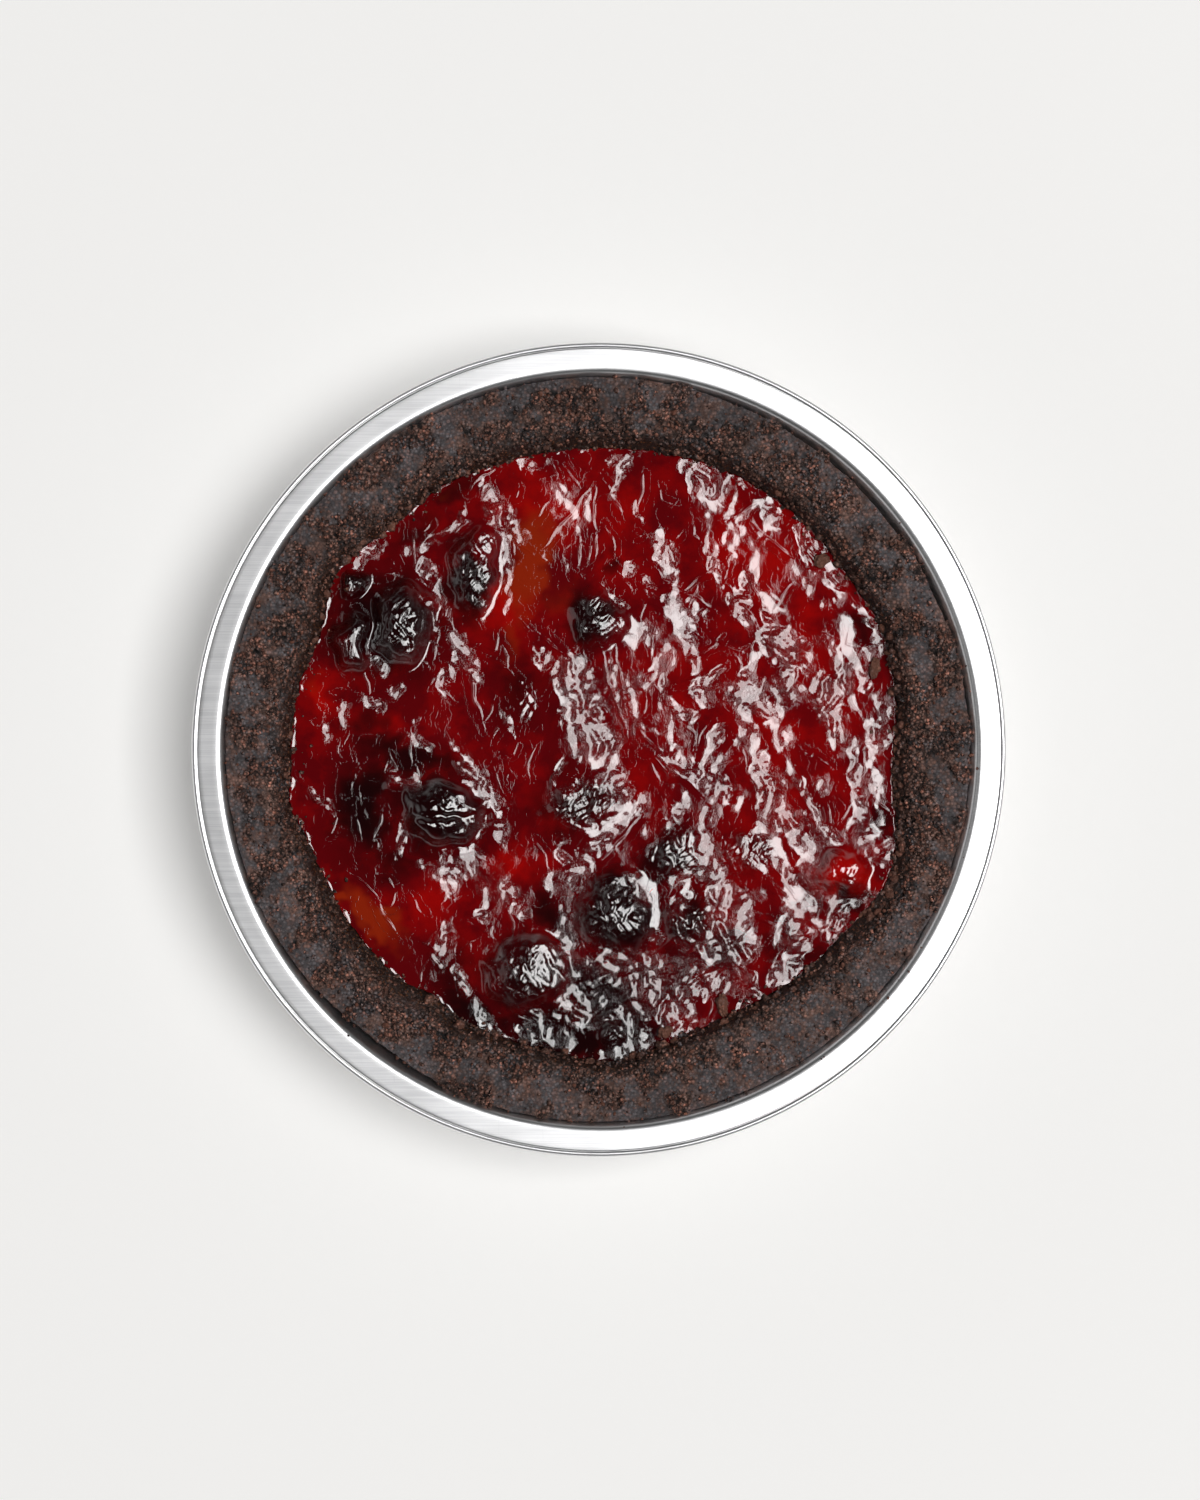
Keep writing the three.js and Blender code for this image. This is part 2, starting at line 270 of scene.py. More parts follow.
def makeCamera():
    data = bpy.data.cameras.new("camera")
    data.lens = camera["focal"]
    data.sensor_width = camera["film"]
    data.clip_start = 0.01
    data.clip_end = 50
    obj = bpy.data.objects.new("camera", data)
    bpy.context.scene.collection.objects.link(obj)
    obj.location = Vector((*camera["at"], camera["rimHeight"] + camera["aboveRim"])) * mm
    bpy.context.scene.camera = obj


light = {
    "distance": 7.0,  # metres from the pie
    # Each softbox: degrees from straight up towards the right, and how wide and deep it looks in degrees.
    "key": {"lean": 22, "width": 28, "depth": 34, "radiance": 8.4},
    "halo": {"lean": 36, "width": 40, "depth": 60, "radiance": 0.12},
    "fill": {"lean": -38, "width": 15, "depth": 36, "radiance": 0.50},
    "overhead": 0.012,  # the room's brightness straight up
    "left": 0.75,  # and low down on either side
    "right": 0.15,
    "floorGlow": 0.245,
}


def makeSoftbox(name):
    lean, width, depth, radiance = light[name].values()
    data = bpy.data.lights.new(name + "Light", "AREA")
    distance = light["distance"]
    data.shape = "RECTANGLE"
    data.size = 2 * distance * np.tan(np.radians(width / 2))
    data.size_y = 2 * distance * np.tan(np.radians(depth / 2))
    data.energy = radiance * np.pi * data.size * data.size_y
    obj = bpy.data.objects.new(name + "Light", data)
    bpy.context.scene.collection.objects.link(obj)
    obj.location = (distance * np.sin(np.radians(lean)), 0, distance * np.cos(np.radians(lean)))
    obj.rotation_euler = (0, np.radians(lean), 0)


def makeRoom():
    for name in ("key", "halo", "fill"):
        makeSoftbox(name)
    world = bpy.data.worlds.new("room")
    world.use_nodes = True
    bpy.context.scene.world = world
    shader = Shader(world.node_tree)
    background = world.node_tree.nodes["Background"]
    direction = shader.add("ShaderNodeTexCoord").outputs["Generated"]
    facing = shader.add("ShaderNodeSeparateXYZ", Vector=direction)
    side = shader.spread(facing.outputs["X"], -0.6, 0.6, light["left"], light["right"])
    strength = shader.spread(facing.outputs["Z"], 0.15, 0.50, 1, 0)
    strength = shader.plus(shader.times(strength, side), light["overhead"])
    shader.set(background, Color=(1, 1, 1, 1), Strength=strength)


paper = {
    "radii": (0, 400, 16000), "around": 96, "fleck": 3.0, "glow": (1.0, 0.992, 0.978, 1),
    "darker": (0.79, 0.783, 0.769, 1), "lighter": (0.80, 0.793, 0.779, 1),
}


def makeFloor():
    bearing = np.arange(paper["around"]) * 360 / paper["around"]
    points = ringed(np.array(paper["radii"])[:, None], bearing, 0.0)
    floor = makeMesh("floor", points.reshape(-1, 3), gridQuads(len(points), paper["around"]))
    material, shader, surface = newMaterial("palePaper")
    fleck = shader.grain(shader.objectPlace(), paper["fleck"])
    shader.set(surface, Base_Color=shader.blend(paper["darker"], paper["lighter"], fleck), Roughness=0.9,
               Specular_IOR_Level=0.0, Emission_Color=paper["glow"], Emission_Strength=light["floorGlow"])
    floor.data.materials.append(material)


tin = {
    "rim": 123.8, "mouth": 115.0, "foot": 92.5, "height": 38.1, "sheet": 1.0,
    "flangeDrop": 0.2, "bead": 0.9, "grooveDepth": 0.1, "grooveWidth": 0.4,
    "footBend": 4.0, "mouthBend": 1.5, "turns": 288, "waver": 0.05,
}
flangeTop = tin["height"] - tin["flangeDrop"]
wallLean = (tin["mouth"] - tin["foot"]) / flangeTop
acrossWall = np.hypot(1, wallLean)


def wallRadius(height):
    return tin["mouth"] - wallLean * (flangeTop - height)


# A quadratic curve round a corner, which leaves both straight sides at the setback.
def bend(before, corner, after, setback, steps=10):
    before, corner, after = (np.array(p, float) for p in (before, corner, after))
    start = corner + (before - corner) * setback / np.linalg.norm(before - corner)
    end = corner + (after - corner) * setback / np.linalg.norm(after - corner)
    t = np.linspace(0, 1, steps)[:, None]
    return (1 - t) ** 2 * start + 2 * t * (1 - t) * corner + t * t * end


def straight(start, end, steps):
    return mix(np.array(start, float), np.array(end, float), np.linspace(0, 1, steps)[1:-1, None])


# Radius and height along the sheet: under the foot, up the outside, round the bead, back in to the middle.
def tinOutline():
    thick = tin["sheet"] * acrossWall
    under = flangeTop - tin["sheet"]
    grooveFloor = flangeTop - tin["grooveDepth"]
    beadR = tin["rim"] - tin["bead"]
    beadZ = tin["height"] - tin["bead"]
    startAngle = np.pi - np.arcsin((under - beadZ) / tin["bead"]) - tau
    endAngle = np.pi - np.arcsin((grooveFloor - beadZ) / tin["bead"])
    angle = np.linspace(startAngle, endAngle, 26)
    curl = np.stack([beadR + tin["bead"] * np.cos(angle), beadZ + tin["bead"] * np.sin(angle)], -1)
    grooveR = curl[-1, 0]
    outFoot, outTop = (wallRadius(0) + thick, 0), (wallRadius(under) + thick, under)
    inFoot, inTop = (wallRadius(tin["sheet"]), tin["sheet"]), (tin["mouth"], flangeTop)
    flangeEdge = (grooveR - tin["grooveWidth"], flangeTop)
    footOut = bend((0, 0), outFoot, outTop, tin["footBend"])
    mouthIn = bend(flangeEdge, inTop, inFoot, tin["mouthBend"], 12)
    footIn = bend(inTop, inFoot, (0, tin["sheet"]), tin["footBend"])
    neck = bend(outFoot, outTop, curl[0], 0.8, 5)
    groove = np.array([
        (grooveR - tin["grooveWidth"] * 0.3, grooveFloor),
        (grooveR - tin["grooveWidth"] * 0.6, grooveFloor + 0.02),
        (grooveR - tin["grooveWidth"] * 0.9, flangeTop - 0.02),
        (grooveR - tin["grooveWidth"] - 0.2, flangeTop),
    ])
    return np.concatenate([
        [(0, 0)], straight((0, 0), footOut[0], 8), footOut, straight(footOut[-1], neck[0], 8), neck,
        straight(neck[-1], curl[0], 4), curl, groove, straight(groove[-1], mouthIn[0], 6), mouthIn,
        straight(mouthIn[-1], footIn[0], 8), footIn, straight(footIn[-1], (0, tin["sheet"]), 6),
        [(0, tin["sheet"])],
    ])


aluminium = {
    "dull": (0.785, 0.785, 0.795, 1), "bright": (0.895, 0.895, 0.90, 1), "scratched": (0.62, 0.62, 0.63, 1),
    "roughness": (0.32, 0.35),
}


def makeAluminium():
    material, shader, surface = newMaterial("brushedAluminium")
    where = shader.objectPlace()
    streaks = shader.grain(where, 0.5, 4, 0.7, (70, 1, 1))  # rolling marks run straight across the sheet
    smudge = shader.grain(where, 14, 3, 0.6)
    scratch = shader.grain(where, 0.35, 2, 0.5, (1, 40, 40), 35)
    shade = shader.blend(aluminium["dull"], aluminium["bright"], shader.spread(streaks, 0.35, 0.65))
    shade = shader.blend(shade, aluminium["scratched"], shader.spread(scratch, 0.72, 0.78, 0, 0.5))
    rough = shader.spread(shader.plus(streaks, smudge), 0.7, 1.3, *aluminium["roughness"])
    shader.set(surface, Base_Color=shade, Metallic=1.0, Roughness=rough,
               Normal=shader.bump(streaks, 0.1, 0.02 * mm))
    return material


def makeTin():
    outline = tinOutline()
    turn = np.arange(tin["turns"]) * tau / tin["turns"]
    radius, height = outline[:, :1], outline[:, 1:]
    flange = smoothStep(height, 20, 36) * smoothStep(radius, 112, 116)  # only the rim wavers
    waver = np.sin(3 * turn + 1) + 0.7 * np.sin(7 * turn) + 0.5 * np.sin(13 * turn + 2)
    points = ringed(radius, np.degrees(turn), height + tin["waver"] * flange * waver)
    obj = makeMesh("pieTin", points.reshape(-1, 3), gridQuads(len(outline), tin["turns"]))
    return place(obj, makeAluminium(), "tin_aluminium", "pie_tin")


pie = {
    "clearance": 0.3, "jellyLevel": 28.5, "jellyEdge": 93.0, "crustFloor": 9.5, "wallLean": 0.36,
    "jellyBays": [  # bearing and width in degrees, and how far the edge moves out
        (336, 10, 4.0), (357, 10, -2.8), (296, 13, -2.4), (272, 8, 2.8), (236, 4, -2.4), (190, 5, 2.6),
        (178, 14, 1.2), (156, 7, -1.2), (146, 8, 4.0), (122, 10, 0.8), (90, 20, -0.6), (60, 16, 1.0),
        (23, 5, 1.8),
    ],
}
skin = {
    "swells": ((0.5, 19, 7, 0), (0.15, 9, 0, 3)),  # height, how far apart, and where each pattern starts
    "folds": (  # height, turn in degrees, wide, long, seed, how far the lines wander
        (0.95, 15, 6.0, 13, 5, 3.0),
        (0.75, -35, 4.2, 11, 6, 3.0),
        (0.80, 46, 4.4, 10, 7, 2.0),
        (0.30, -62, 3.4, 9, 9, 2.0),
        (0.13, 20, 1.9, 6, 8, 2.0),
    ),
    "lean": 0.17,  # slope of a sheen towards the light
    "topLean": 0.13,  # and of the tops of wrinkled cherries
    "overlap": 1.2,  # sheens that overlap lean no more than this many of them
    # Where sheens and wrinkles are stronger: middle, reach, and by how much.
    "stronger": [(5, -78, 28, 0.15), (0, 0, 24, 0.1), (45, 62, 24, -0.15), (0, 78, 20, -0.1)],
    "wander": 1.2,  # how far sheens and creases are bent out of true
    "fillet": 2.4,  # how softly the jelly runs up to a cherry
    "edgeClimb": 0.45,  # how far it climbs at the crust
    "edgeReach": 0.7,
    "calm": 0.07,  # how much of the folds is left where the skin is calm
    "crinkles": ((0.9, 30, 3.2, 6, 17, 1.5), (0.6, -40, 2.2, 5, 18, 1.0)),  # folds on the cherries
}
# Where the skin leans to the right and catches the light: middle, half length, half width, turn, and how
# much, which is less than 0 where it leans away.
sheens = [
    (-31, 73, 8, 3.5, -62, 1), (-25, 67, 4, 3, -30, 1), (-28, 54, 10, 1.2, 88, 1),
    (-41, 29, 8, 2.6, -62, 1.1), (-46, 23, 4.5, 2.5, 55, 0.9), (-67, 26, 3.5, 2.5, -40, 1),
    (-62, 18, 3.2, 1.8, 20, 0.8), (-69, 14, 4, 2, -20, 0.9), (-78, 10, 4.5, 1.8, 80, 0.9),
    (-83, 5, 4, 2, -60, 0.6), (-69, 62, 3, 3, 60, 1), (-73, 57, 3.2, 1.6, 60, 1),
    (-53, 55.5, 3.4, 2, -30, 1.1), (-48, 46, 7, 1.4, -72, 1), (-54, 62, 6, 1.4, 20, 0.8),
    (-46, 67.5, 7, 1.3, 20, 0.9), (-42, 72, 3.2, 0.9, 62, 0.9), (-22, 87.5, 5, 2, -10, 0.7),
    (-14, 88.5, 3, 1.4, 0, 0.6), (-17, 28, 3.6, 2.6, -30, 1), (-8, 22, 7, 5.5, -50, 1),
    (-5, 11, 6, 4, -30, 1), (-28, 9, 4.2, 1.1, -60, 1), (-56, 8, 3, 1, 60, 0.6),
    (-54, 2, 4, 1.5, -20, 0.8), (8, 88, 5, 2.6, 10, 0.9), (5, 81, 4, 1.8, 70, 0.9),
    (12, 73, 4, 1.8, -70, 0.8), (20, 61, 6, 3, -50, 1), (33, 82.5, 8, 4.2, -35, 1.1),
    (43, 82, 4, 1.4, -25, 0.9), (53, 72.5, 4.5, 2.8, -30, 1), (44, 71, 5, 1.4, 35, 0.7),
    (35.5, 58, 7, 1.8, -76, 1), (62, 64, 5.5, 1, -75, 1), (65, 62, 5, 0.8, -70, 1),
    (67.5, 62.5, 2.6, 1.2, -80, 1), (72, 52.5, 4.6, 2.4, -10, 1.1), (65, 51, 2.4, 2, 0, 0.8),
    (46.5, 52, 4, 2, 60, 1), (43, 44, 6.5, 2.8, -60, 1), (52, 41, 5, 1.8, -55, 1),
    (58, 31, 9, 4.6, -42, 1.1), (67, 22, 3.6, 2.4, -30, 1), (24, 43, 8, 3.6, -35, 0.6),
    (27, 34, 6.5, 2.4, -62, 0.7), (29, 27, 4, 1.6, -75, 0.9), (12, 36, 6, 2.4, 10, 0.6),
    (10, 55, 2, 1.8, 0, 1), (15, 51.5, 2.6, 1, -30, 1), (-1, 44, 3, 4, 90, 1), (6, 44, 2.2, 2.8, 90, 1),
    (-3, 38, 2.5, 3, 90, 0.8), (33, 22, 6, 1.2, 25, 0.8), (31, 17, 2.6, 1.8, -20, 1),
    (27, 11, 4, 1.7, -20, 1), (20, 20, 4.4, 1, 78, 0.8), (45, 22, 6.5, 1.7, 55, 0.9),
    (50, 12, 6, 3, -20, 0.9), (57, 18, 4, 1.6, 70, 0.8), (71, 12, 8.5, 4, -68, 1),
    (74, 24, 7, 1.6, -62, 1), (84, 39, 4.5, 1.4, -38, 1), (91, 11, 2.2, 2, 0, 1),
    (86, 5, 4, 2.8, -20, 0.9), (36, 4, 4, 1.8, 60, 0.9), (45, 7, 5, 1.6, -45, 0.8),
    (2, 4, 5, 3.4, -20, 1), (-86, -15, 4.4, 1, -45, 0.9), (-52, -13.5, 9, 2.4, -20, 1.3),
    (-43, -23, 7, 1.7, -2, 1.4), (-60, -26, 7, 1.2, 72, 1), (-54, -35, 2.4, 1.8, 20, 0.8),
    (-36, -11, 9, 2.4, -46, 1.1), (-30, -25, 5, 1.8, -80, 1), (-43, -36, 9, 4, 14, 0.9),
    (-45, -43, 4.2, 2.2, -20, 0.8), (-36, -43, 4, 1.6, -60, 0.7), (-27, -44, 5, 2.4, -80, 1.1),
    (-23, -50, 2.6, 2.2, 0, 0.8), (-35, -51, 4, 1.6, -30, 0.8), (-47, -60, 5.6, 2.6, 80, 1.2),
    (-42, -71, 5, 2, -70, 1), (-36, -81, 6.5, 2.2, -62, 0.9), (-9, -67, 5, 1.4, -60, 1),
    (-62.5, 46.5, 4, 3, 80, 1.3), (-59, 35, 7, 4, 50, 1.4), (-5, -77, 6, 2.4, -70, 1),
    (-20, -80, 2, 1.4, 0, 0.7), (-12, -90, 5, 1.6, 0, 0.8), (-30, -88, 5, 1.6, -20, 0.8),
    (-22, -92, 4, 1.4, 0, 1), (-13, -8, 5, 1, 65, 0.9), (-8, -16, 6, 4.6, 0, 0.9),
    (-11, -33, 3.4, 1.6, -30, 0.9), (4, -11, 6, 5, -40, 1), (14, -18, 4, 2, 80, 1),
    (26, -6, 6, 1.8, -20, 0.9), (36, -11, 9, 2.6, -22, 1), (25, -19, 5, 2, 45, 0.9),
    (4, -26, 9, 2.2, 42, 0.9), (35, -35, 8, 3.4, -78, 1.1), (37, -50, 8, 2.6, -80, 1),
    (43, -48, 8, 3.2, -68, 1.1), (36, -61, 7, 2.8, -15, 0.9), (45, -61, 5, 3, 30, 1),
    (51, -10, 8, 3.6, -70, 1), (57, -21, 6, 3, -30, 1), (64, -15, 7, 1.1, -55, 1.1),
    (71, -25, 2.6, 1.6, -45, 1), (62, -28, 5, 2.2, -38, 0.9), (57, -37, 6, 1.8, -50, 1),
    (79, -10, 9, 1.8, -82, 1), (85, -11, 9, 4, -85, 0.5), (83, -25, 3, 1.2, 0, 0.8),
    (5, -43, 5, 2.6, -20, 1), (13, -49, 4.5, 1.6, -70, 0.9), (3, -52, 4, 2, 0, 0.9),
    (25, -48, 3.6, 2.4, 40, 1), (28, -56, 4.5, 2, -20, 1), (18, -58, 2.4, 2, 0, 0.8),
    (9, -65, 9, 2.8, 0, 1.1), (15, -72, 8, 3, -10, 1), (27, -74, 8, 4, 10, 0.9),
    (26, -86, 7, 2.6, -20, 1), (9, -88, 5, 1.8, 10, 0.9), (12, -81, 5, 2.2, -20, 0.8),
    (47, -72, 5, 1.6, -60, 1), (44, -80, 3, 1.6, 60, 1), (57, -68, 5, 3.4, 30, 1),
    (62, -60, 4.6, 2.2, 30, 1), (73, -51, 4.6, 3.4, 60, 1), (66.5, -48, 4, 1.1, 80, 1),
    (1, -76, 3.4, 3.4, 0, 0.9), (28, 41, 8, 5, -20, 0.6), (-3, 3, 7, 6, -40, 0.8),
    (-5, -80, 8, 4, -10, 0.9), (20, -78, 8, 4, 0, 0.9), (2, -66, 8, 3, 10, 0.9),
    (33, -72, 7, 4, 0, 0.9), (6, -95, 4, 1, 0, 1), (74, -34, 1.6, 1, 60, 1), (78, -40, 3, 1.2, 35, 1),
    (34, -67, 6, 2, -10, 0.8), (22, -66, 3, 4, 90, 0.8), (84, 31, 9, 5, -75, -0.6),
    (87, 14, 9, 5, -85, -0.6), (86, -6, 12, 5, 90, -0.4),
]
# Sharp folds: the points each runs through, its height and its width.
creases = [
    ([(-17, 62), (-10, 71), (-3, 80)], 0.2, 0.4),
    ([(-46, 41), (-43, 33), (-39, 24), (-38, 15), (-35, 7)], 0.25, 0.5),
    ([(-50, 21), (-47, 18), (-45, 16)], 0.15, 0.4),
    ([(15, 50.5), (24, 49), (31, 46), (35, 43)], 0.22, 0.5),
    ([(47, 69.5), (51, 65), (58, 60)], 0.2, 0.4), ([(33, 65), (34, 58), (38, 52)], 0.2, 0.4),
    ([(1, 30), (3, 20), (8, 8), (9, 0)], 0.25, 0.5), ([(5, 31), (7, 20), (9, 10)], 0.2, 0.4),
    ([(60, -10), (65, -18), (71, -25)], 0.25, 0.5), ([(20, -1), (26, -8), (33, -15)], 0.25, 0.5),
    ([(39, 71), (44, 73), (49, 76)], 0.15, 0.4), ([(61, 69), (62, 62), (65, 57)], 0.2, 0.45),
    ([(64, 68), (65, 62), (67, 57)], 0.2, 0.4), ([(12, 6), (15, 3), (18, -1)], 0.2, 0.45),
    ([(40, 50), (46, 42), (50, 34), (55, 28)], 0.2, 0.5), ([(-6, 65), (-6, 57)], 0.2, 0.4),
    ([(-1, 80), (-2, 72), (-1, 68)], 0.2, 0.4), ([(-1, 66), (-1, 60)], 0.2, 0.4),
    ([(4, 78), (7, 72)], 0.2, 0.4), ([(-67, -47), (-66, -51), (-62, -56)], 0.22, 0.45),
    ([(64, 38), (71, 35)], 0.15, 0.35), ([(-56, 49), (-51, 43), (-49, 35), (-51, 28)], 0.35, 0.5),
    ([(-75, 38), (-76, 30), (-76, 25)], 0.35, 0.6), ([(-77, 41), (-73, 39), (-71, 32)], 0.25, 0.4),
    ([(54, -37), (57, -40), (60, -45)], 0.2, 0.45), ([(-40, 79), (-36, 84), (-32, 86)], 0.2, 0.4),
    ([(38, -28), (42, -38)], 0.2, 0.4), ([(24, 20), (30, 22), (38, 26)], 0.18, 0.4),
    ([(0, -34), (8, -26), (14, -18)], 0.22, 0.45), ([(30, 28), (36, 33), (44, 30)], 0.15, 0.4),
    ([(14, 0), (22, -8), (32, -6), (44, -2)], 0.2, 0.45),
    ([(-75, -5), (-73, -16), (-70, -26), (-69, -36)], 0.1, 0.9),
    ([(-70, 0), (-76, -10), (-76, -20)], 0.12, 0.8),
    ([(-61, -10), (-52, -10), (-42, -16), (-35, -20)], 0.25, 0.5),
]
randomCreases = {
    "count": 190, "seed": 12, "reach": 88, "step": 2.4, "length": (3, 11), "lean": 40, "bend": 25,
    "tall": (0.08, 0.2), "wide": (0.28, 0.45),
}
# The deep fold in the large cherry at left.
slit = ([(-57, -19), (-50, -20.5), (-40, -20.5), (-33, -20)], -1.6, 1.4)


def towards(turn):  # a step of 1 mm at an angle in radians
    return np.array([np.cos(turn), np.sin(turn)])


def addRandomCreases():  # short ones all over, most of them near the pie's far-near direction
    rng = np.random.default_rng(randomCreases["seed"])
    for k in range(randomCreases["count"]):
        middle = randomCreases["reach"] * np.sqrt(rng.random()) * towards(k * randomCreases["step"])
        half = 0.5 * rng.uniform(*randomCreases["length"])
        lean = np.radians(90 + rng.normal(0, randomCreases["lean"]))
        bendBy = np.radians(rng.normal(0, randomCreases["bend"]))
        points = [middle - half * towards(lean - bendBy), middle, middle + half * towards(lean + bendBy)]
        tall = rng.uniform(*randomCreases["tall"])
        creases.append((points, tall, rng.uniform(*randomCreases["wide"])))


# Dark fruit below, clear bright jelly, and pale filling below: middle, half sizes, turn and strength.
shades = [
    (-66, 38, 19, 17, 0, 0.95), (-75, 50, 7, 6, 0, 0.9), (-44, 80, 11, 4, 35, 0.55),
    (-56, 67, 9, 5, 40, 0.5), (-39, 53, 7, 15, 8, 0.95), (-44, 48, 5, 10, 20, 0.6),
    (-24, 17, 8, 11, 10, 0.55), (-49, -20, 17, 12, -14, 0.92), (-72, -18, 10, 18, 0, 0.85),
    (-58, -2, 20, 6, -14, 0.75), (-64, -34, 11, 5, -5, 0.55), (-8, -18, 13, 10, 0, 0.7),
    (-14, -50, 7, 13, 20, 0.7), (6, -50, 15, 14, 0, 0.95), (-22, -69, 15, 14, 0, 0.75),
    (-4, -92, 9, 7, 0, 0.9), (-38, -82, 16, 9, -35, 0.85), (-45, -70, 9, 10, 0, 0.6),
    (-14, -87, 22, 10, -5, 0.9), (8, -87, 16, 11, 0, 0.85), (0, -75, 13, 13, 0, 0.85),
    (20, -70, 18, 12, 0, 0.5), (22, -33, 14, 9, 10, 0.8), (28, -52, 9, 10, 0, 0.75),
    (46, -30, 9, 8, 0, 0.5), (80, 38, 7, 4, -40, 0.6), (88, -22, 4, 9, 10, 0.6),
    (64, -64, 12, 3.5, 45, 0.5), (54, -60, 6, 9, 0, 0.5), (-2, 40, 8, 10, 0, 0.85),
    (4, 56, 3, 5, 0, 0.6), (38, -62, 12, 8, 0, 0.55), (78, -46, 6, 5, 0, 0.7), (-8, -5, 10, 8, 0, 0.3),
    (28, 7, 4, 5, 0, 0.4), (-70, 9, 9, 5, 0, 0.5), (-30, 30, 5, 8, 0, 0.3), (66, -44, 7, 6, 0, 0.4),
    (-10, 12, 5, 12, 0, 0.3), (42, -80, 8, 5, 20, 0.4), (87, 8, 4, 12, 0, 0.3),
]
brights = [
    (-15, 75, 14, 10, 0, 0.7), (-30, 44, 10, 8, 40, 0.8), (-86, 18, 4, 8, 10, 0.8),
    (64, 42, 9, 7, 0, 0.6), (15, 12, 10, 9, 0, 0.4), (75, -38, 8, 7, 0, 1), (-55, -46, 12, 7, 0, 0.5),
    (-25, -34, 9, 6, 0, 0.7), (5, 62, 8, 10, 0, 0.4), (-62, 8, 4, 3, 0, 0.6), (15, -10, 8, 6, 0, 0.4),
    (46, 58, 24, 16, -40, 0.5), (4, 76, 14, 10, 0, 0.4), (24, 24, 16, 12, 0, 0.35),
    (62, -2, 20, 42, 0, 0.3),
]
ambers = [
    (-21, 58, 7, 17, -12, 0.95), (-69, -52, 12, 4.6, -50, 1), (-78, -46, 4, 2.6, -40, 1),
    (-27, 34, 4, 9, 0, 0.5), (-46, 78, 3, 2, 30, 0.5), (-87, 20, 2.5, 8, 10, 0.35),
    (-12, 46, 9, 8, 0, 0.35),
]
cherryNodes = sorted(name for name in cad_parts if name[:7] == "cherry_" and name != "cherry_jelly")
cherryShapes = {node: [np.array(corner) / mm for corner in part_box(node)] for node in cherryNodes}


def cherrySizes(node):  # middle and half sizes of a cherry, from its solid
    low, high = cherryShapes[node]
    return (low + high) / 2, (high - low) / 2


def roundPie(bearing, pattern, turns, seed=None):  # a pattern read along a circle, so that it closes
    onCircle = around(bearing, turns)
    return pattern(*onCircle) if seed is None else pattern(*onCircle, seed)


def jellyEdge(bearing):  # the solid's line, and up to half a millimetre of unevenness
    uneven = 0.45 * roundPie(bearing, noise, 24, 61) + 0.3 * roundPie(bearing, noise, 60, 62)
    return withBays(pie["jellyEdge"], pie["jellyBays"], bearing) + uneven


def wandered(x, y, by, apart, seedX, seedY):  # places moved about by a noise
    return x + by * noise(x / apart, y / apart, seedX), y + by * noise(x / apart, y / apart, seedY)


def foldLines(x, y, turn, wide, long, seed, wander):  # valleys where a long, wandering noise crosses zero
    along, across = turned(*wandered(x, y, wander, 9, seed + 1, seed + 2), turn)
    n = noise(along / wide, across / long, seed)
    return np.sqrt(n * n + 0.006)


def within(x, y, patch):  # 0 in the middle of an ellipse, 1 on its edge
    along, across = turned(x - patch[0], y - patch[1], patch[4])
    return np.hypot(along / patch[2], across / patch[3])


def strongest(x, y, patches):  # of several patches, each flat in the middle and soft at the edge
    total = np.zeros(np.shape(x))
    for patch in patches:
        total = np.maximum(total, patch[5] * np.exp(-within(x, y, patch) ** 2.4))
    return total


# Distance to a bent line, less than 0 on its right side, and how far along it, from 0 to 1.
def fromLine(x, y, points):
    points = np.array(points, float)
    lengths = np.linalg.norm(np.diff(points, axis=0), axis=1)
    nearest, share = np.full(np.shape(x), 99.0), np.zeros(np.shape(x))
    for i, length in enumerate(lengths):
        (startX, startY), (alongX, alongY) = points[i], (points[i + 1] - points[i]) / length
        t = np.clip((x - startX) * alongX + (y - startY) * alongY, 0, length)
        side = np.sign((y - startY) * alongX - (x - startX) * alongY)
        distance = side * np.hypot(x - startX - t * alongX, y - startY - t * alongY)
        closer = np.abs(distance) < np.abs(nearest)
        share = np.where(closer, (lengths[:i].sum() + t) / lengths.sum(), share)
        nearest = np.where(closer, distance, nearest)
    return nearest, share


def creaseFields(x, y):  # distance to the nearest crease as a multiple of its width, and its height there
    bentX, bentY = wandered(x, y, skin["wander"] / 2, 5, 51, 53)
    away, tall = np.full(np.shape(x), 6.0), np.zeros(np.shape(x))
    for points, height, wide in creases:
        near = np.hypot(x - np.mean(points, 0)[0], y - np.mean(points, 0)[1]) < 24
        distance, share = fromLine(bentX[near], bentY[near], points)
        closer = np.abs(distance / wide) < np.abs(away[near])
        away[near] = np.where(closer, distance / wide, away[near])
        here = height * np.sin(np.pi * np.clip(share, 0.03, 0.97)) ** 0.6
        tall[near] = np.where(closer, here, tall[near])
    return {"creaseAway": away, "creaseTall": tall}


def stronger(x, y):
    return sum(by * bell(np.hypot(x - midX, y - midY) / reach) for midX, midY, reach, by in skin["stronger"])


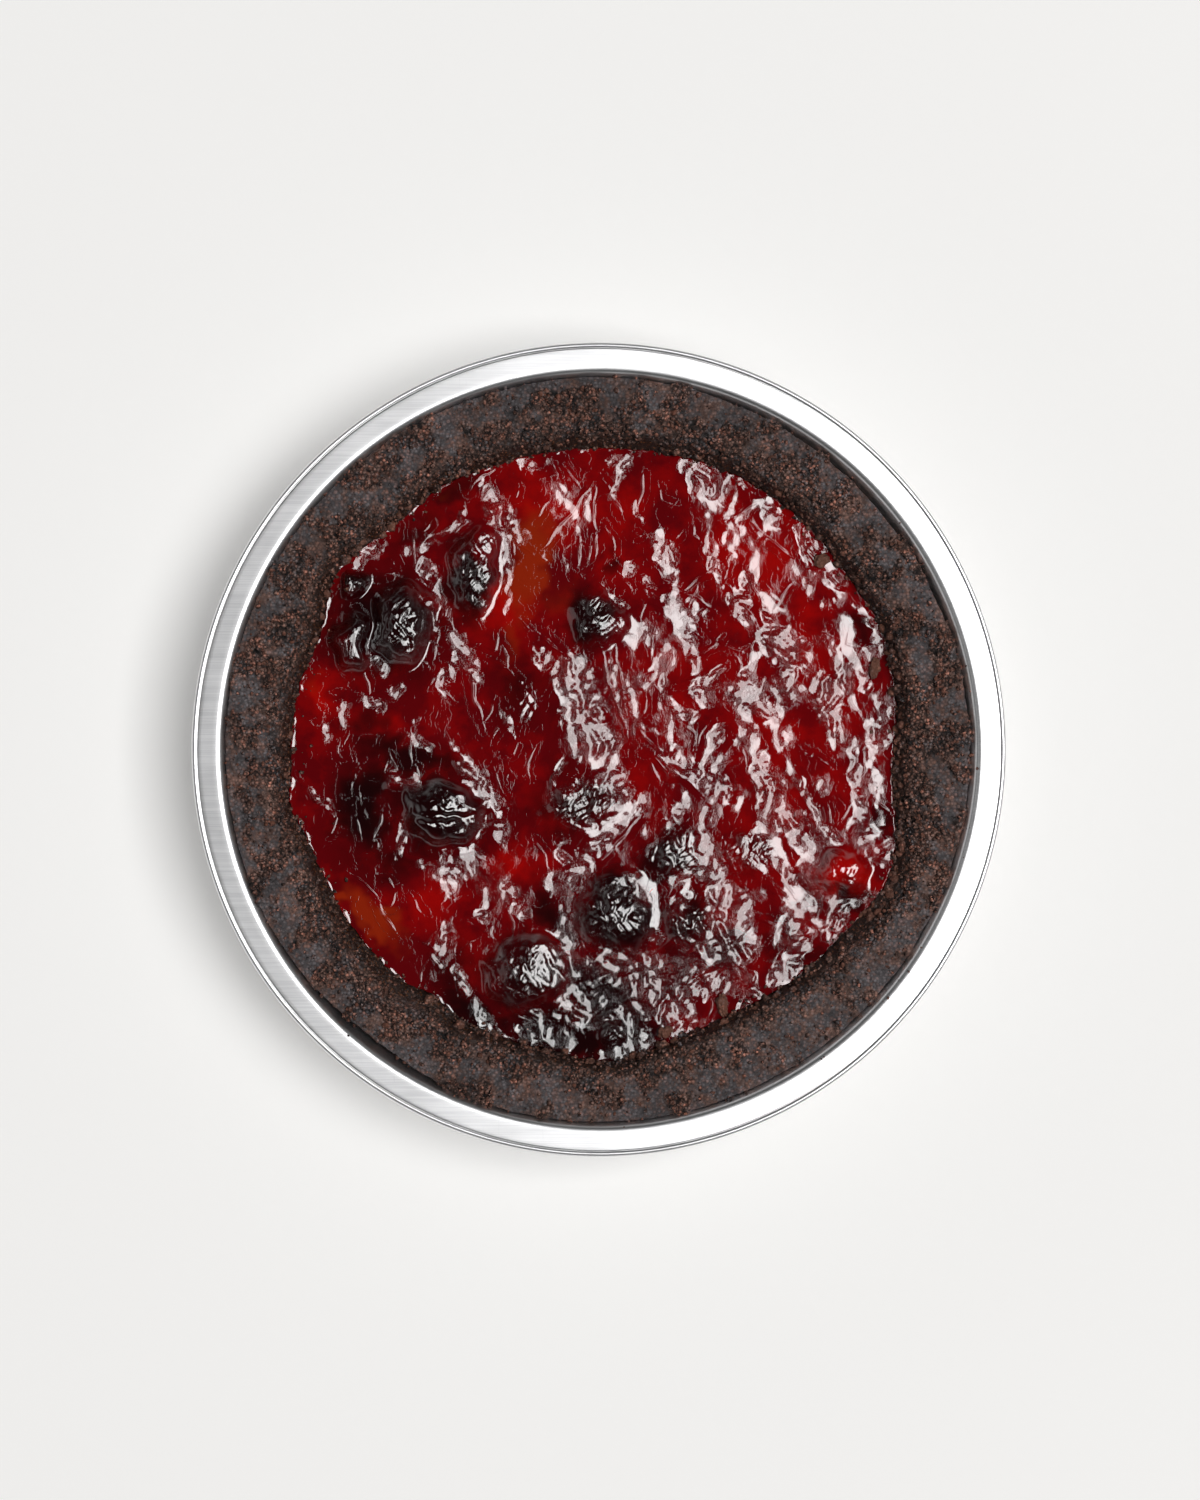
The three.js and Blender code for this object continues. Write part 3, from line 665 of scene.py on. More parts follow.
# The skin without cherries: its height is the level, plus swells, sheens, the slit and folds, plus a climb at
# the crust. A sheen is a slope times a bell, so it leans one way in the middle and comes back to level. Also
# gives how creased the skin is, 0 to 1.
def bareSkin(x, y):
    height = np.full(np.shape(x), pie["jellyLevel"])
    for tall, apart, startX, startY in skin["swells"]:
        height += tall * lumps(x / apart + startX, y / apart + startY)
    bentX, bentY = wandered(x, y, skin["wander"], 5, 51, 53)
    lit, total, leaning = np.zeros((3, *np.shape(x)))
    for patch in sheens:
        here = (patch[5] + stronger(*patch[:2])) * np.exp(-0.6 * within(bentX, bentY, patch) ** 2)
        leaning += (x - patch[0]) * here
        total += here
        lit = np.maximum(lit, here)
    height -= skin["lean"] * leaning / (1 + (total / skin["overlap"]) ** 4) ** 0.25
    lit = lit * (0.8 + 0.4 * noise(x / 2.5, y / 2.5, 56))
    points, deep, wide = slit
    distance, share = fromLine(bentX, bentY, points)
    height += deep * bell(distance / wide) * np.sqrt(np.sin(np.pi * share))
    dense = smoothStep(x * 0.5 - y * 0.3 + 25 * noise(x / 30, y / 30, 55), -25, 45)
    patchy = smoothStep(noise(x / 12, y / 12, 31) + 2 * stronger(x, y), -0.08, 0.35)
    creased = np.clip(smoothStep(lit, 0.2, 0.75) + 0.7 * dense * patchy, 0, 1)
    for tall, *fold in skin["folds"]:
        height += mix(skin["calm"], 1, creased) * tall * (foldLines(x, y, *fold) - 0.35)
    fromEdge = jellyEdge(np.degrees(np.arctan2(y, x))) - np.hypot(x, y)
    climb = skin["edgeClimb"] * np.maximum(0.35 + 1.1 * noise(x / 4, y / 4, 57), 0)
    return height + climb * np.exp(-np.maximum(fromEdge, 0) / skin["edgeReach"]), creased


def softMax(a, b, k):  # the larger of two heights, with a fillet about k wide between them
    h = np.clip(0.5 + 0.5 * (a - b) / k, 0, 1)
    return mix(b, a, h) + k * h * (1 - h)


# How clearly each cherry stands out of the skin drawn over it and how crinkled the skin on it is, each from
# 0 to 1, and for the deepest ones how much of their height shows.
draped = {
    "cherry_01": (1, 0.6), "cherry_02": (1, 0.3), "cherry_03": (0.9, 0.8), "cherry_04": (0.6, 0.8),
    "cherry_05": (0.35, 0.7), "cherry_06": (0, 0.3, 0.35), "cherry_07": (0.7, 0.35),
    "cherry_08": (0, 0.1, 0.1), "cherry_09": (0.1, 0.8), "cherry_10": (0.35, 0.75), "cherry_11": (0.6, 0.7),
    "cherry_12": (0.2, 0.8), "cherry_13": (0.1, 0.8), "cherry_14": (0.1, 0.8), "cherry_15": (0.8, 0.4),
    "cherry_16": (0.4, 1),
}
dome = {"mostShare": 0.9, "flatness": 3.2, "tall": 1.2, "reach": 1.4, "edge": 0.9, "ripple": 0.8}


# The skin drawn over every cherry: between a soft mound, which is a bell, and a flat-topped dome, which falls
# with a power of the distance from its middle.
def wholeSkin(x, y):
    height, creased = bareSkin(x, y)
    ripple = height - pie["jellyLevel"]
    crinkle = sum(tall * foldLines(x, y, *fold) for tall, *fold in skin["crinkles"]) - 0.5
    bentX, bentY = wandered(x, y, 2.2, 7, 58, 59)
    for node in cherryNodes:
        middle, half = cherrySizes(node)
        clear, wrinkled, share = (*draped[node], dome["mostShare"])[:3]
        d = np.hypot((bentX - middle[0]) / half[0], (bentY - middle[1]) / half[1])
        rise = middle[2] + half[2] - pie["jellyLevel"]
        over = np.exp(-((d / dome["edge"]) ** 4))
        falling = 1 - np.minimum(d, dome["reach"]) ** dome["flatness"]
        top = pie["jellyLevel"] + dome["tall"] * rise * falling + dome["ripple"] * ripple
        mound = height + share * rise * np.exp(-1.4 * d**2)
        tipped = skin["topLean"] * wrinkled * (bentX - middle[0]) * np.exp(-1.5 * d**2)
        height = mix(mound, softMax(top, height, skin["fillet"]), clear) + wrinkled * crinkle * over - tipped
        creased = mix(creased, 0.45 * wrinkled, over)
    return height, creased


def skinAttributes(x, y, creased):
    farX, farY = wandered(x, y, 4.0, 9, 64, 65)
    nearX, nearY = wandered(x, y, 1.6, 3, 66, 67)
    bent = farX + nearX - x, farY + nearY - y
    stains = {"shade": strongest(*bent, shades), "bright": strongest(*bent, brights)}
    return {**stains, "amber": strongest(*bent, ambers), "creased": creased, **creaseFields(x, y)}


wrinkle = {
    "drift": 7.0, "driftApart": 5.0,  # how far the pattern wanders, and over what distance
    "fibre": 0.45, "fibreTurns": (25, -45), "fibreHeight": 0.45, "crinkle": 1.7, "crinkleHeight": 0.15,
    "facet": (1.7, 4.0), "facetTurn": -15, "facetHeight": 0.8,
    "calm": 0.03,  # how much of all this is left where the skin is calm
}


# Fine fibres, crinkles and small flat facets of the skin, and its sharp creases, as a height in millimetres.
# A facet is a random slope times the way from its cell's middle, and a crease is a bell across its line.
def makeFilmWrinkle():
    group, shader, given, out = newGroup(
        "filmWrinkle", [("Place", "NodeSocketVector", None), ("Creased", "NodeSocketFloat", 0.0),
                        ("CreaseAway", "NodeSocketFloat", 6.0), ("CreaseTall", "NodeSocketFloat", 0.0)],
        [("Height", "NodeSocketFloat")])
    where = given.outputs["Place"]
    grey = (0.5, 0.5, 0.5)
    drift = shader.add("ShaderNodeTexNoise", Vector=where, Scale=1 / (wrinkle["driftApart"] * mm), Detail=1.0)
    drift = shader.vector("SUBTRACT", drift.outputs["Color"], grey)
    wandering = shader.vector("ADD", where, shader.vector("SCALE", drift, wrinkle["drift"] * mm))
    rising, falling = (shader.grain(wandering, wrinkle["fibre"], 2, 0.55, (1, 8, 1), turn)
                       for turn in wrinkle["fibreTurns"])
    fibres = shader.between(rising, falling, shader.spread(shader.grain(where, 7, 1), 0.42, 0.58))
    fibres = shader.times(fibres, wrinkle["fibreHeight"])
    broad = shader.grain(wandering, wrinkle["crinkle"], 1, 0.5, (1, 2, 1), -10)
    crinkle = shader.math("ABSOLUTE", shader.math("SUBTRACT", broad, 0.5))
    crinkle = shader.times(crinkle, wrinkle["crinkleHeight"])
    wide, long = wrinkle["facet"]
    scaled = shader.scaled(wandering, wrinkle["facetTurn"], (1 / (wide * mm), 1 / (long * mm), 0))
    cell = shader.add("ShaderNodeTexVoronoi", {"feature": "SMOOTH_F1"}, Vector=scaled, Scale=1.0,
                      Smoothness=0.12)
    fromMiddle = shader.vector("SUBTRACT", scaled, cell.outputs["Position"])
    slope = shader.vector("SUBTRACT", cell.outputs["Color"], grey)
    facets = shader.times(shader.vector("DOT_PRODUCT", fromMiddle, slope), wrinkle["facetHeight"])
    fine = shader.plus(shader.plus(fibres, crinkle), facets)
    fine = shader.times(fine, shader.spread(given.outputs["Creased"], 0, 1, wrinkle["calm"], 1.0))
    away = given.outputs["CreaseAway"]
    ridge = shader.math("EXPONENT", shader.times(shader.times(away, away), -1.0))
    ridge = shader.times(ridge, given.outputs["CreaseTall"])
    shader.feed(out, "Height", shader.plus(fine, ridge))
    return group


gel = {
    "red": (0.128, 0.0005, 0.0025, 1), "bright": (0.46, 0.002, 0.001, 1), "amber": (0.31, 0.019, 0.003, 1),
    "dark": (0.012, 0.0007, 0.0012, 1), "cloud": 12, "gloss": 1.53,
}


def makeSkinMaterial():
    material, shader, surface = newMaterial("wrinkledJelly")
    where = shader.objectPlace()
    creased = shader.attribute("creased")
    cloud = shader.spread(shader.grain(where, gel["cloud"], 4, 0.62), 0.3, 0.7, -0.2, 0.3)
    red = shader.blend(gel["red"], gel["bright"], shader.plus(shader.attribute("bright"), cloud))
    red = shader.blend(red, gel["amber"], shader.spread(shader.attribute("amber"), 0.1, 0.9))
    red = shader.blend(red, gel["dark"], shader.spread(shader.attribute("shade"), 0.0, 0.85))
    film = shader.add("ShaderNodeGroup", {"node_tree": makeFilmWrinkle()}, Place=where, Creased=creased,
                      CreaseAway=shader.attribute("creaseAway"), CreaseTall=shader.attribute("creaseTall"))
    shader.set(surface, Base_Color=red, Roughness=shader.spread(creased, 0, 1, 0.05, 0.08), IOR=gel["gloss"],
               Coat_Weight=1.0, Coat_Roughness=0.03, Coat_IOR=gel["gloss"],
               Normal=shader.bump(film.outputs["Height"]))
    return material


jelly = {"steps": 308, "skirt": 3, "sink": 0.3, "seam": 1.2}


def discGrid(steps):  # a square grid pressed into a unit circle, so its cells stay nearly even
    u, v = np.meshgrid(np.linspace(-1, 1, steps), np.linspace(-1, 1, steps), indexing="xy")
    return u * np.sqrt(1 - v * v / 2), v * np.sqrt(1 - u * u / 2)


# Under 0 inside a cherry's showing cap, down to -1, and above 0 outside every cap, up to 1. Jelly and cherry
# share the skin and meet where it is 0: past that line each sinks below the other with its square.
def shown(x, y):
    level = np.ones(np.shape(x))
    for node in cherryNodes:
        middle, half = cherrySizes(node)
        capEdge = np.sqrt(np.maximum(1 - ((pie["jellyLevel"] - middle[2]) / half[2]) ** 2, 0.05))
        d = np.hypot((x - middle[0]) / half[0], (y - middle[1]) / half[1])
        level = np.minimum(level, np.clip((d - capEdge) * min(half[:2]) / jelly["seam"], -1, 1))
    return level


def makeJelly(material):
    n = jelly["steps"]
    unitX, unitY = discGrid(n)
    reach = jellyEdge(np.degrees(np.arctan2(unitY, unitX)))
    x, y = unitX * reach, unitY * reach
    height, creased = wholeSkin(x, y)
    height -= jelly["sink"] * np.minimum(shown(x, y), 0) ** 2
    top = np.stack([x, y, height], -1).reshape(-1, 3)
    right, down = np.arange(n - 1), np.arange(n - 1, 0, -1)
    edge = np.concatenate([right, n * right + n - 1, n * (n - 1) + down, n * down])
    rim, count = top[edge], len(edge)
    fullLean = pie["wallLean"] * (pie["jellyLevel"] - pie["crustFloor"])
    rows = [top]
    for share in np.arange(1, jelly["skirt"] + 1) / jelly["skirt"]:
        narrower = 1 - share * fullLean / np.hypot(*rim.T[:2])
        lower = mix(rim[:, 2], pie["crustFloor"] + pie["clearance"], share)
        rows.append(np.stack([rim[:, 0] * narrower, rim[:, 1] * narrower, lower], -1))
    rings = [edge] + [n * n + count * i + np.arange(count) for i in range(jelly["skirt"])]
    sides = [np.stack([a, b, np.roll(b, -1), np.roll(a, -1)], -1) for a, b in zip(rings, rings[1:])]
    quads = np.concatenate([gridQuads(n, n, False)] + sides)
    below = np.zeros(count * jelly["skirt"])
    attributes = skinAttributes(x, y, creased)
    attributes = {key: np.concatenate([value.ravel(), below]) for key, value in attributes.items()}
    obj = makeMesh("cherryJelly", np.concatenate(rows), quads, attributes, [rings[-1][::-1]])
    return place(obj, material, "red_jelly", "cherry_jelly")


cherry = {"around": 120, "down": 84}


def makeCherry(node, material):
    middle, half = cherrySizes(node)
    theta = np.linspace(0, np.pi, cherry["down"])[:, None]
    phi = np.arange(cherry["around"]) * tau / cherry["around"]
    x = middle[0] + half[0] * np.sin(theta) * np.cos(phi)
    y = middle[1] + half[1] * np.sin(theta) * np.sin(phi)
    body = middle[2] + half[2] * np.cos(theta) + 0 * phi
    height, creased = wholeSkin(x, y)
    outside = shown(x, y)
    onSkin = height - jelly["sink"] * np.maximum(outside, 0) ** 2
    upper = mix(onSkin, np.minimum(body, onSkin), smoothStep(outside, 0.25, 0.6))
    points = np.stack([x, y, np.where(theta < np.pi / 2, upper, body)], -1).reshape(-1, 3)
    quads = gridQuads(cherry["down"], cherry["around"])[:, ::-1]
    name = node.replace("cherry_", "darkCherry")
    obj = makeMesh(name, points, quads, skinAttributes(x, y, creased))
    return place(obj, material, "dark_cherry", node)


crust = {
    "top": 36.5, "crown": 0.3, "tilt": 0.5, "shoulder": 0.5, "columns": 1180, "rows": 72,
    # Each list of bays gives bearing and width in degrees, and how much is added there.
    "slope": 2.9,
    "slopeBays": [(335, 24, 4.0), (270, 20, -1.4), (228, 13, 6.0), (156, 10, 2.4), (88, 26, 1.4)],
    "shrink": 0.1, "shrinkBays": [(232, 13, 2.0), (38, 26, 1.0)],
    "rough": -0.05, "roughBays": [(315, 35, -0.35), (350, 14, 0.35), (140, 25, 0.15)],
    "soaked": 3.4, "soakedBays": [(228, 16, 3.0), (335, 20, 1.5), (152, 10, 1.5), (90, 25, 0.8)],
    # Painted shade: bays round the crust where its colour is darker.
    "shadeBays": [(90, 35, 0.16), (268, 25, 0.08)],
    "lip": 0.66, "lipWidth": 0.12, "lipRough": 0.5,  # share of the way in where the rough lip lies
    "cragDepth": 0.4, "grain": 1.5, "clod": 3.4, "grainHeight": 0.45, "clodHeight": 0.55, "crackDepth": 0.7,
}


def againstTin(height):  # radius of what stands against the tin's wall
    return wallRadius(height) - pie["clearance"] * acrossWall


# Radius and height of the showing crust's control rows, from the tin in to the jelly.
def crustControls(bearing):
    rim = crust["top"] - crust["tilt"] * around(bearing)[0]
    shrink = withBays(crust["shrink"], crust["shrinkBays"], bearing)
    outer = againstTin(rim - crust["shoulder"]) - shrink - 0.15 * (1 + roundPie(bearing, lumps, 22))
    inner = jellyEdge(bearing)
    edge = inner + pie["clearance"]
    lip = edge + withBays(crust["slope"], crust["slopeBays"], bearing) + 0.6 * roundPie(bearing, lumps, 14)
    line = bareSkin(*around(bearing, inner))[0]
    ragged = 1.1 * np.maximum(roundPie(bearing, noise, 30, 63), -0.2) + 0.6 * roundPie(bearing, noise, 70, 64)
    rows = [(outer - 3.0, rim - 5.4), (outer - 1.2, rim - 2.4), (outer + 0.25, rim - 0.6)]
    rows.append((outer + 0.1, rim - 0.1))
    for t in (0.05, 0.31, 0.5, 0.69, 0.88):
        rows.append((mix(outer, lip, t), rim + 4 * crust["crown"] * t * (1 - t)))
    rows += [
        (lip, rim - 0.9), (mix(edge, lip, 0.6) - 0.5 * ragged, mix(line, rim, 0.55)),
        (mix(edge, lip, 0.2) - ragged, mix(line, rim, 0.15)), (edge - 0.6 - ragged, line - 1.0),
        (edge - 1.6, line - 3.5),
    ]
    return np.array(rows)


def curveThrough(controls, rows):  # a cubic B-spline down the control rows, evenly spaced on average
    gaps = np.linalg.norm(np.diff(controls.mean(2), axis=0), axis=1)
    length = np.concatenate([[0], np.cumsum(gaps)])
    t = np.interp(np.linspace(0, length[-1], rows), length, np.arange(len(length)))
    i = np.minimum(t.astype(int), len(controls) - 2)
    f = (t - i)[:, None, None]
    before, here, after, beyond = (controls[np.clip(i + k, 0, len(controls) - 1)] for k in (-1, 0, 1, 2))
    return ((1 - f) ** 3 * before + (3 * f**3 - 6 * f**2 + 4) * here
            + (-3 * f**3 + 3 * f**2 + 3 * f + 1) * after + f**3 * beyond) / 6


def domes(x, y, apart, reach, seed, least):  # half balls about scattered points, each of a height of its own
    away, value = cells(x / apart, y / apart, seed)
    return np.sqrt(np.maximum(1 - (away / reach) ** 2, 0)) * (least + value)


# Broad and fine relief of the crust, and where it is rough, where it is soaked (darker, partly as painted
# shade of the inner wall), and where painted shade darkens its pits, cracks and two bays round it. Crags are
# lumps, grains and clods are domes, and cracks run where a noise is 0. Patterns go on down the inner slope at
# its true length.
def crustRelief(radius, height, bearing, share):
    x, y = around(bearing, radius + height - crust["top"])
    crags = 0.5 * lumps(x / 13, y / 13) + 0.8 * lumps(x / 6, y / 6) - crust["cragDepth"]
    flat = smoothStep(share, 0.1, 0.25) * (1 - smoothStep(share, 0.9, 1.0))
    broad = (flat * (crags + 0.9) * 0.8 - 0.6) * flat
    looser = withBays(crust["rough"], crust["roughBays"], bearing) + 0.9 * (share - 0.45)
    rough = smoothStep(noise(x / 10, y / 10, 71) + 0.5 * noise(x / 4, y / 4, 72) + looser, -0.3, 0.3)
    rough = np.clip(rough + crust["lipRough"] * bell((share - crust["lip"]) / crust["lipWidth"]), 0, 1)
    grains = domes(x, y, crust["grain"], 0.75, 73, 0.5)
    clods = domes(x, y, crust["clod"], 0.8, 74, 0.4)
    piled = crust["grainHeight"] * grains + crust["clodHeight"] * clods
    cracks = bell((noise(x / 7, y / 7, 75) + 0.4 * noise(x / 2.5, y / 2.5, 76)) / 0.07) * (0.3 + rough)
    # Painted shade: the hollows between grains and clods, and the cracks, are coloured darker.
    pitShade = np.clip(smoothStep(0.42 - piled, 0, 0.4) * rough + cracks, 0, 1)
    # Painted shade: the crust coloured darker in bays about bearings 90 and 268.
    pitShade = np.clip(pitShade + withBays(0, crust["shadeBays"], bearing), 0, 1)
    soaked = withBays(crust["soaked"], crust["soakedBays"], bearing)
    # The crumb by the jelly is soaked, and its colour is darker partly as a stain and partly as painted shade
    # of the inner wall.
    soakedAndShaded = 1 - smoothStep((radius - jellyEdge(bearing) + 1.3 * noise(x / 3, y / 3, 78)) / soaked, 0.5, 1.25)
    fine = rough * piled - crust["crackDepth"] * cracks + 0.15 * noise(x / 1.2, y / 1.2, 77)
    return broad, fine * (1 - 0.6 * soakedAndShaded), {"rough": rough, "soakedAndShaded": soakedAndShaded, "pitShade": pitShade}


def gridNormals(points):  # of a grid closed round, pointing up in its middle row
    downRow = np.gradient(points, axis=0)
    roundRow = (np.roll(points, -1, 1) - np.roll(points, 1, 1)) / 2
    normal = np.cross(downRow, roundRow)
    normal /= np.linalg.norm(normal, axis=-1, keepdims=True)
    return normal * np.sign(normal[len(points) // 2, 0, 2])


def makeCrust(material):
    bearing = np.arange(crust["columns"]) * 360 / crust["columns"]
    radius, height = curveThrough(crustControls(bearing), crust["rows"]).transpose(1, 0, 2)
    share = np.linspace(0, 1, crust["rows"])[:, None] + 0 * radius
    broad, fine, masks = crustRelief(radius, height, bearing, share)
    showing = ringed(radius, bearing, height + broad)
    normal = gridNormals(showing)
    showing += normal * (fine * smoothStep(share, 0.0, 0.08))[..., None]
    base = tin["sheet"] + pie["clearance"]
    foot = againstTin(base)
    inner = jellyEdge(bearing) - pie["wallLean"] * (pie["jellyLevel"] - pie["crustFloor"]) + pie["clearance"]
    outside = [(0, base), (60, base), (foot - 5, base), (foot - 1, base + 1), (againstTin(12), 12)]
    inside = [(inner, pie["crustFloor"]), (inner * 0.6, pie["crustFloor"]), (0, pie["crustFloor"])]
    outside, inside = ([ringed(r, bearing, z) for r, z in rows] for rows in (outside, inside))
    points = np.concatenate([outside, showing, inside])
    unseen = ((len(outside), len(inside)), (0, 0))
    attributes = {key: np.pad(value, unseen) for key, value in masks.items()}
    obj = makeMesh("crumbCrust", points.reshape(-1, 3), gridQuads(len(points), crust["columns"]), attributes)
    place(obj, material, "chocolate_crumb", "crumb_crust")
    return showing, normal, masks


crumbLook = {
    "grey": (0.110, 0.098, 0.102, 1), "brown": (0.165, 0.095, 0.076, 1), "rust": (0.34, 0.143, 0.100, 1),
    # Painted shade: the pit colour in hollows and cracks, and black in the gaps between grains. The soaked
    # colours are darker partly as painted shade of the inner wall.
    "black": (0.008, 0.005, 0.004, 1), "pitShade": (0.006, 0.005, 0.005, 1), "looseRust": (0.20, 0.080, 0.052, 1),
    "soaked": (0.018, 0.007, 0.004, 1), "soakedLight": (0.16, 0.055, 0.018, 1),
    "grain": 0.8, "crumb": 0.9, "patch": 6.0, "shading": 8.0,
}


# Baked chocolate crumb: grey, brown and rusty grains, each with painted shading, lighter in its middle and
# darker at its edge, and painted shade of black in the gaps between them. Also the grains' height in mm.
def makeCrumbTone():
    group, shader, given, out = newGroup(
        "crumbTone", [("Place", "NodeSocketVector", None), ("Rough", "NodeSocketFloat", 1.0)],
        [("Color", "NodeSocketColor"), ("Height", "NodeSocketFloat")])
    where, rough = given.outputs["Place"], given.outputs["Rough"]
    fine = shader.grain(where, crumbLook["grain"], 4, 0.75)
    patches = shader.grain(where, crumbLook["patch"], 4, 0.6)
    cell = shader.add("ShaderNodeTexVoronoi", Vector=where, Scale=1 / (crumbLook["crumb"] * mm))
    away = cell.outputs["Distance"]
    kind = shader.add("ShaderNodeSeparateColor", Color=cell.outputs["Color"]).outputs
    browner = shader.times(shader.plus(kind[0], rough), 0.12)
    browner = shader.spread(shader.plus(patches, browner), 0.50, 0.72)
    tone = shader.blend(crumbLook["grey"], crumbLook["brown"], browner)
    rusty = shader.times(shader.spread(kind[2], 0.6, 0.9), shader.spread(rough, 0, 1, 0.2, 0.85))
    tone = shader.blend(tone, crumbLook["rust"], rusty)
    # Painted shading: each grain is lighter in its middle and darker towards its edge.
    lit = shader.times(shader.spread(away, 0.15, 0.75, 1.3, 0.25), shader.spread(kind[1], 0, 1, 0.45, 1.75))
    lit = shader.between(0.9, lit, shader.spread(rough, 0, 1, 0.45, 1.0))
    shading = shader.grain(where, crumbLook["shading"], 3, 0.6)
    lit = shader.times(lit, shader.spread(shading, 0.35, 0.65, 0.78, 1.2))
    lit = shader.add("ShaderNodeCombineXYZ", X=lit, Y=lit, Z=lit).outputs[0]
    tone = shader.blend(tone, lit, 1.0, "MULTIPLY")
    deeper = shader.spread(rough, 0, 1, 0.5, 1.0)
    # Painted shade: black in the gaps between the grains.
    gapShade = shader.times(shader.spread(fine, 0.38, 0.48, 1, 0), deeper)
    shader.feed(out, "Color", shader.blend(tone, crumbLook["black"], gapShade))
    height = shader.plus(shader.times(fine, 0.5), shader.times(away, -0.35))
    shader.feed(out, "Height", shader.times(height, deeper))
    return group


def makeCrumbMaterial(toneGroup):
    material, shader, surface = newMaterial("chocolateCrumb")
    where, soakedAndShaded = shader.objectPlace(), shader.attribute("soakedAndShaded")
    crumb = shader.add("ShaderNodeGroup", {"node_tree": toneGroup}, Place=where,
                       Rough=shader.attribute("rough"))
    # Painted shade in the crust's hollows and cracks.
    tone = shader.blend(crumb.outputs["Color"], crumbLook["pitShade"], shader.attribute("pitShade"))
    lighter = shader.spread(shader.grain(where, 0.9, 2, 0.6), 0.58, 0.68)
    soaked = shader.blend(crumbLook["soaked"], crumbLook["soakedLight"], lighter)
    # Soaked crumb by the jelly: a stain, and painted shade of the inner wall.
    tone = shader.blend(tone, soaked, shader.times(soakedAndShaded, 0.93))
    shader.set(surface, Base_Color=tone, Roughness=shader.spread(soakedAndShaded, 0.3, 1, 0.9, 0.4),
               Specular_IOR_Level=0.35, Normal=shader.bump(crumb.outputs["Height"]))
    return material


def makeLooseMaterial(toneGroup):
    material, shader, surface = newMaterial("looseCrumb")
    crumb = shader.add("ShaderNodeGroup", {"node_tree": toneGroup}, Place=shader.objectPlace(), Rough=1.0)
    share = shader.times(shader.attribute("rusty"), 0.75)
    tone = shader.blend(crumb.outputs["Color"], crumbLook["looseRust"], share)
    shader.set(surface, Base_Color=tone, Roughness=0.9, Specular_IOR_Level=0.25,
               Normal=shader.bump(crumb.outputs["Height"]))
    return material


# Half sizes run from small to large, and a higher power makes more of them small. Specks lie within about
# their reach of the jelly's edge, and on the tin from one radius to another.
loose = {"count": 8600, "small": 0.32, "large": 1.0, "power": 2.5, "seed": 5}
clumps = {
    "count": 300, "small": 0.45, "large": 1.9, "power": 2.6, "seed": 21,
    "bays": [(345, 22, 2.2), (25, 20, 0.9), (140, 18, 0.8), (262, 14, 0.8), (300, 20, 0.5)],
}
specks = {
    "jelly": 420, "tin": 26, "small": 0.16, "large": 0.75, "power": 2, "seed": 8,
    "reach": 1.3, "tinFrom": 113.6, "tinTo": 116.2, "tinBearing": -25, "tinSpread": 40, "tinBend": 115.8,
}
# Crumbs broken off the crust, lying on the jelly: place, half sizes and turn.
flakes = [
    (68.4, 58.0, 2.4, 2.0, 1.5, 20), (38.0, -78.4, 1.7, 3.2, 1.3, 8),
    (84.6, 25.0, 1.5, 3.0, 1.2, -12), (20.3, -86.6, 2.2, 1.6, 1.2, 15),
]


def randomSizes(look, count, rng):
    return mix(look["small"], look["large"], rng.random(count) ** look["power"])


def icosahedron():  # 12 corners and 20 faces
    golden = (1 + 5**0.5) / 2
    corners = [(0, a, b * golden) for a in (-1, 1) for b in (-1, 1)]
    corners = np.array(corners + [(z, x, y) for x, y, z in corners] + [(y, z, x) for x, y, z in corners])
    corners /= np.linalg.norm(corners[0])
    apart = np.linalg.norm(corners[:, None] - corners[None], axis=-1)
    near = (apart < 1.1) & (apart > 0)
    faces = [(i, j, k) for i in range(12) for j in range(i + 1, 12) for k in range(j + 1, 12)
             if near[i, j] and near[j, k] and near[i, k]]
    faces = [f if np.linalg.det(corners[list(f)]) > 0 else f[::-1] for f in faces]
    return corners, np.array(faces)


def lumpMesh(name, points, triangles, rusty):
    return makeMesh(name, points, np.zeros((0, 4), int), {"rusty": rusty}, list(triangles), smooth=False)


def crumbPieces(name, at, size, rng):  # one rough crumb of 20 faces at each place
    corners, faces = icosahedron()
    count = len(at)
    shapes = corners[None] * rng.uniform(0.6, 1.25, (count, 12, 1)) * rng.uniform(0.7, 1.2, (count, 1, 3))
    points = at[:, None] + shapes * size[:, None, None]
    triangles = faces[None] + 12 * np.arange(count)[:, None, None]
    rusty = np.repeat(rng.random(count) ** 4, 12)
    return lumpMesh(name, points.reshape(-1, 3), triangles.reshape(-1, 3), rusty)


def makeLoose(ring, normal, masks, material):  # crumbs half sunk in the crust, most where it is roughest
    rng = np.random.default_rng(loose["seed"])
    rows, columns = masks["rough"].shape
    share = np.arange(rows)[:, None] / rows
    chance = (0.12 + masks["rough"] ** 1.5) * smoothStep(share, 0.1, 0.2)
    chance *= (1 - smoothStep(share, 0.86, 0.95)) * (1 - 0.6 * masks["soakedAndShaded"])
    picked = rng.choice(rows * columns, loose["count"], p=(chance / chance.sum()).ravel())
    at = ring.reshape(-1, 3)[picked] + rng.normal(0, 0.2, (loose["count"], 3)) * (1, 1, 0)
    size = randomSizes(loose, loose["count"], rng)
    at += normal.reshape(-1, 3)[picked] * (size * rng.uniform(-0.3, 0.45, loose["count"]))[:, None]
    return place(crumbPieces("looseCrumbs", at, size, rng), material, "chocolate_crumb")


def unitBall(subdivisions):
    bm = bmesh.new()
    bmesh.ops.create_icosphere(bm, subdivisions=subdivisions, radius=1)
    ball = np.array([v.co for v in bm.verts])
    faces = np.array([[v.index for v in f.verts] for f in bm.faces])
    bm.free()
    return ball, faces


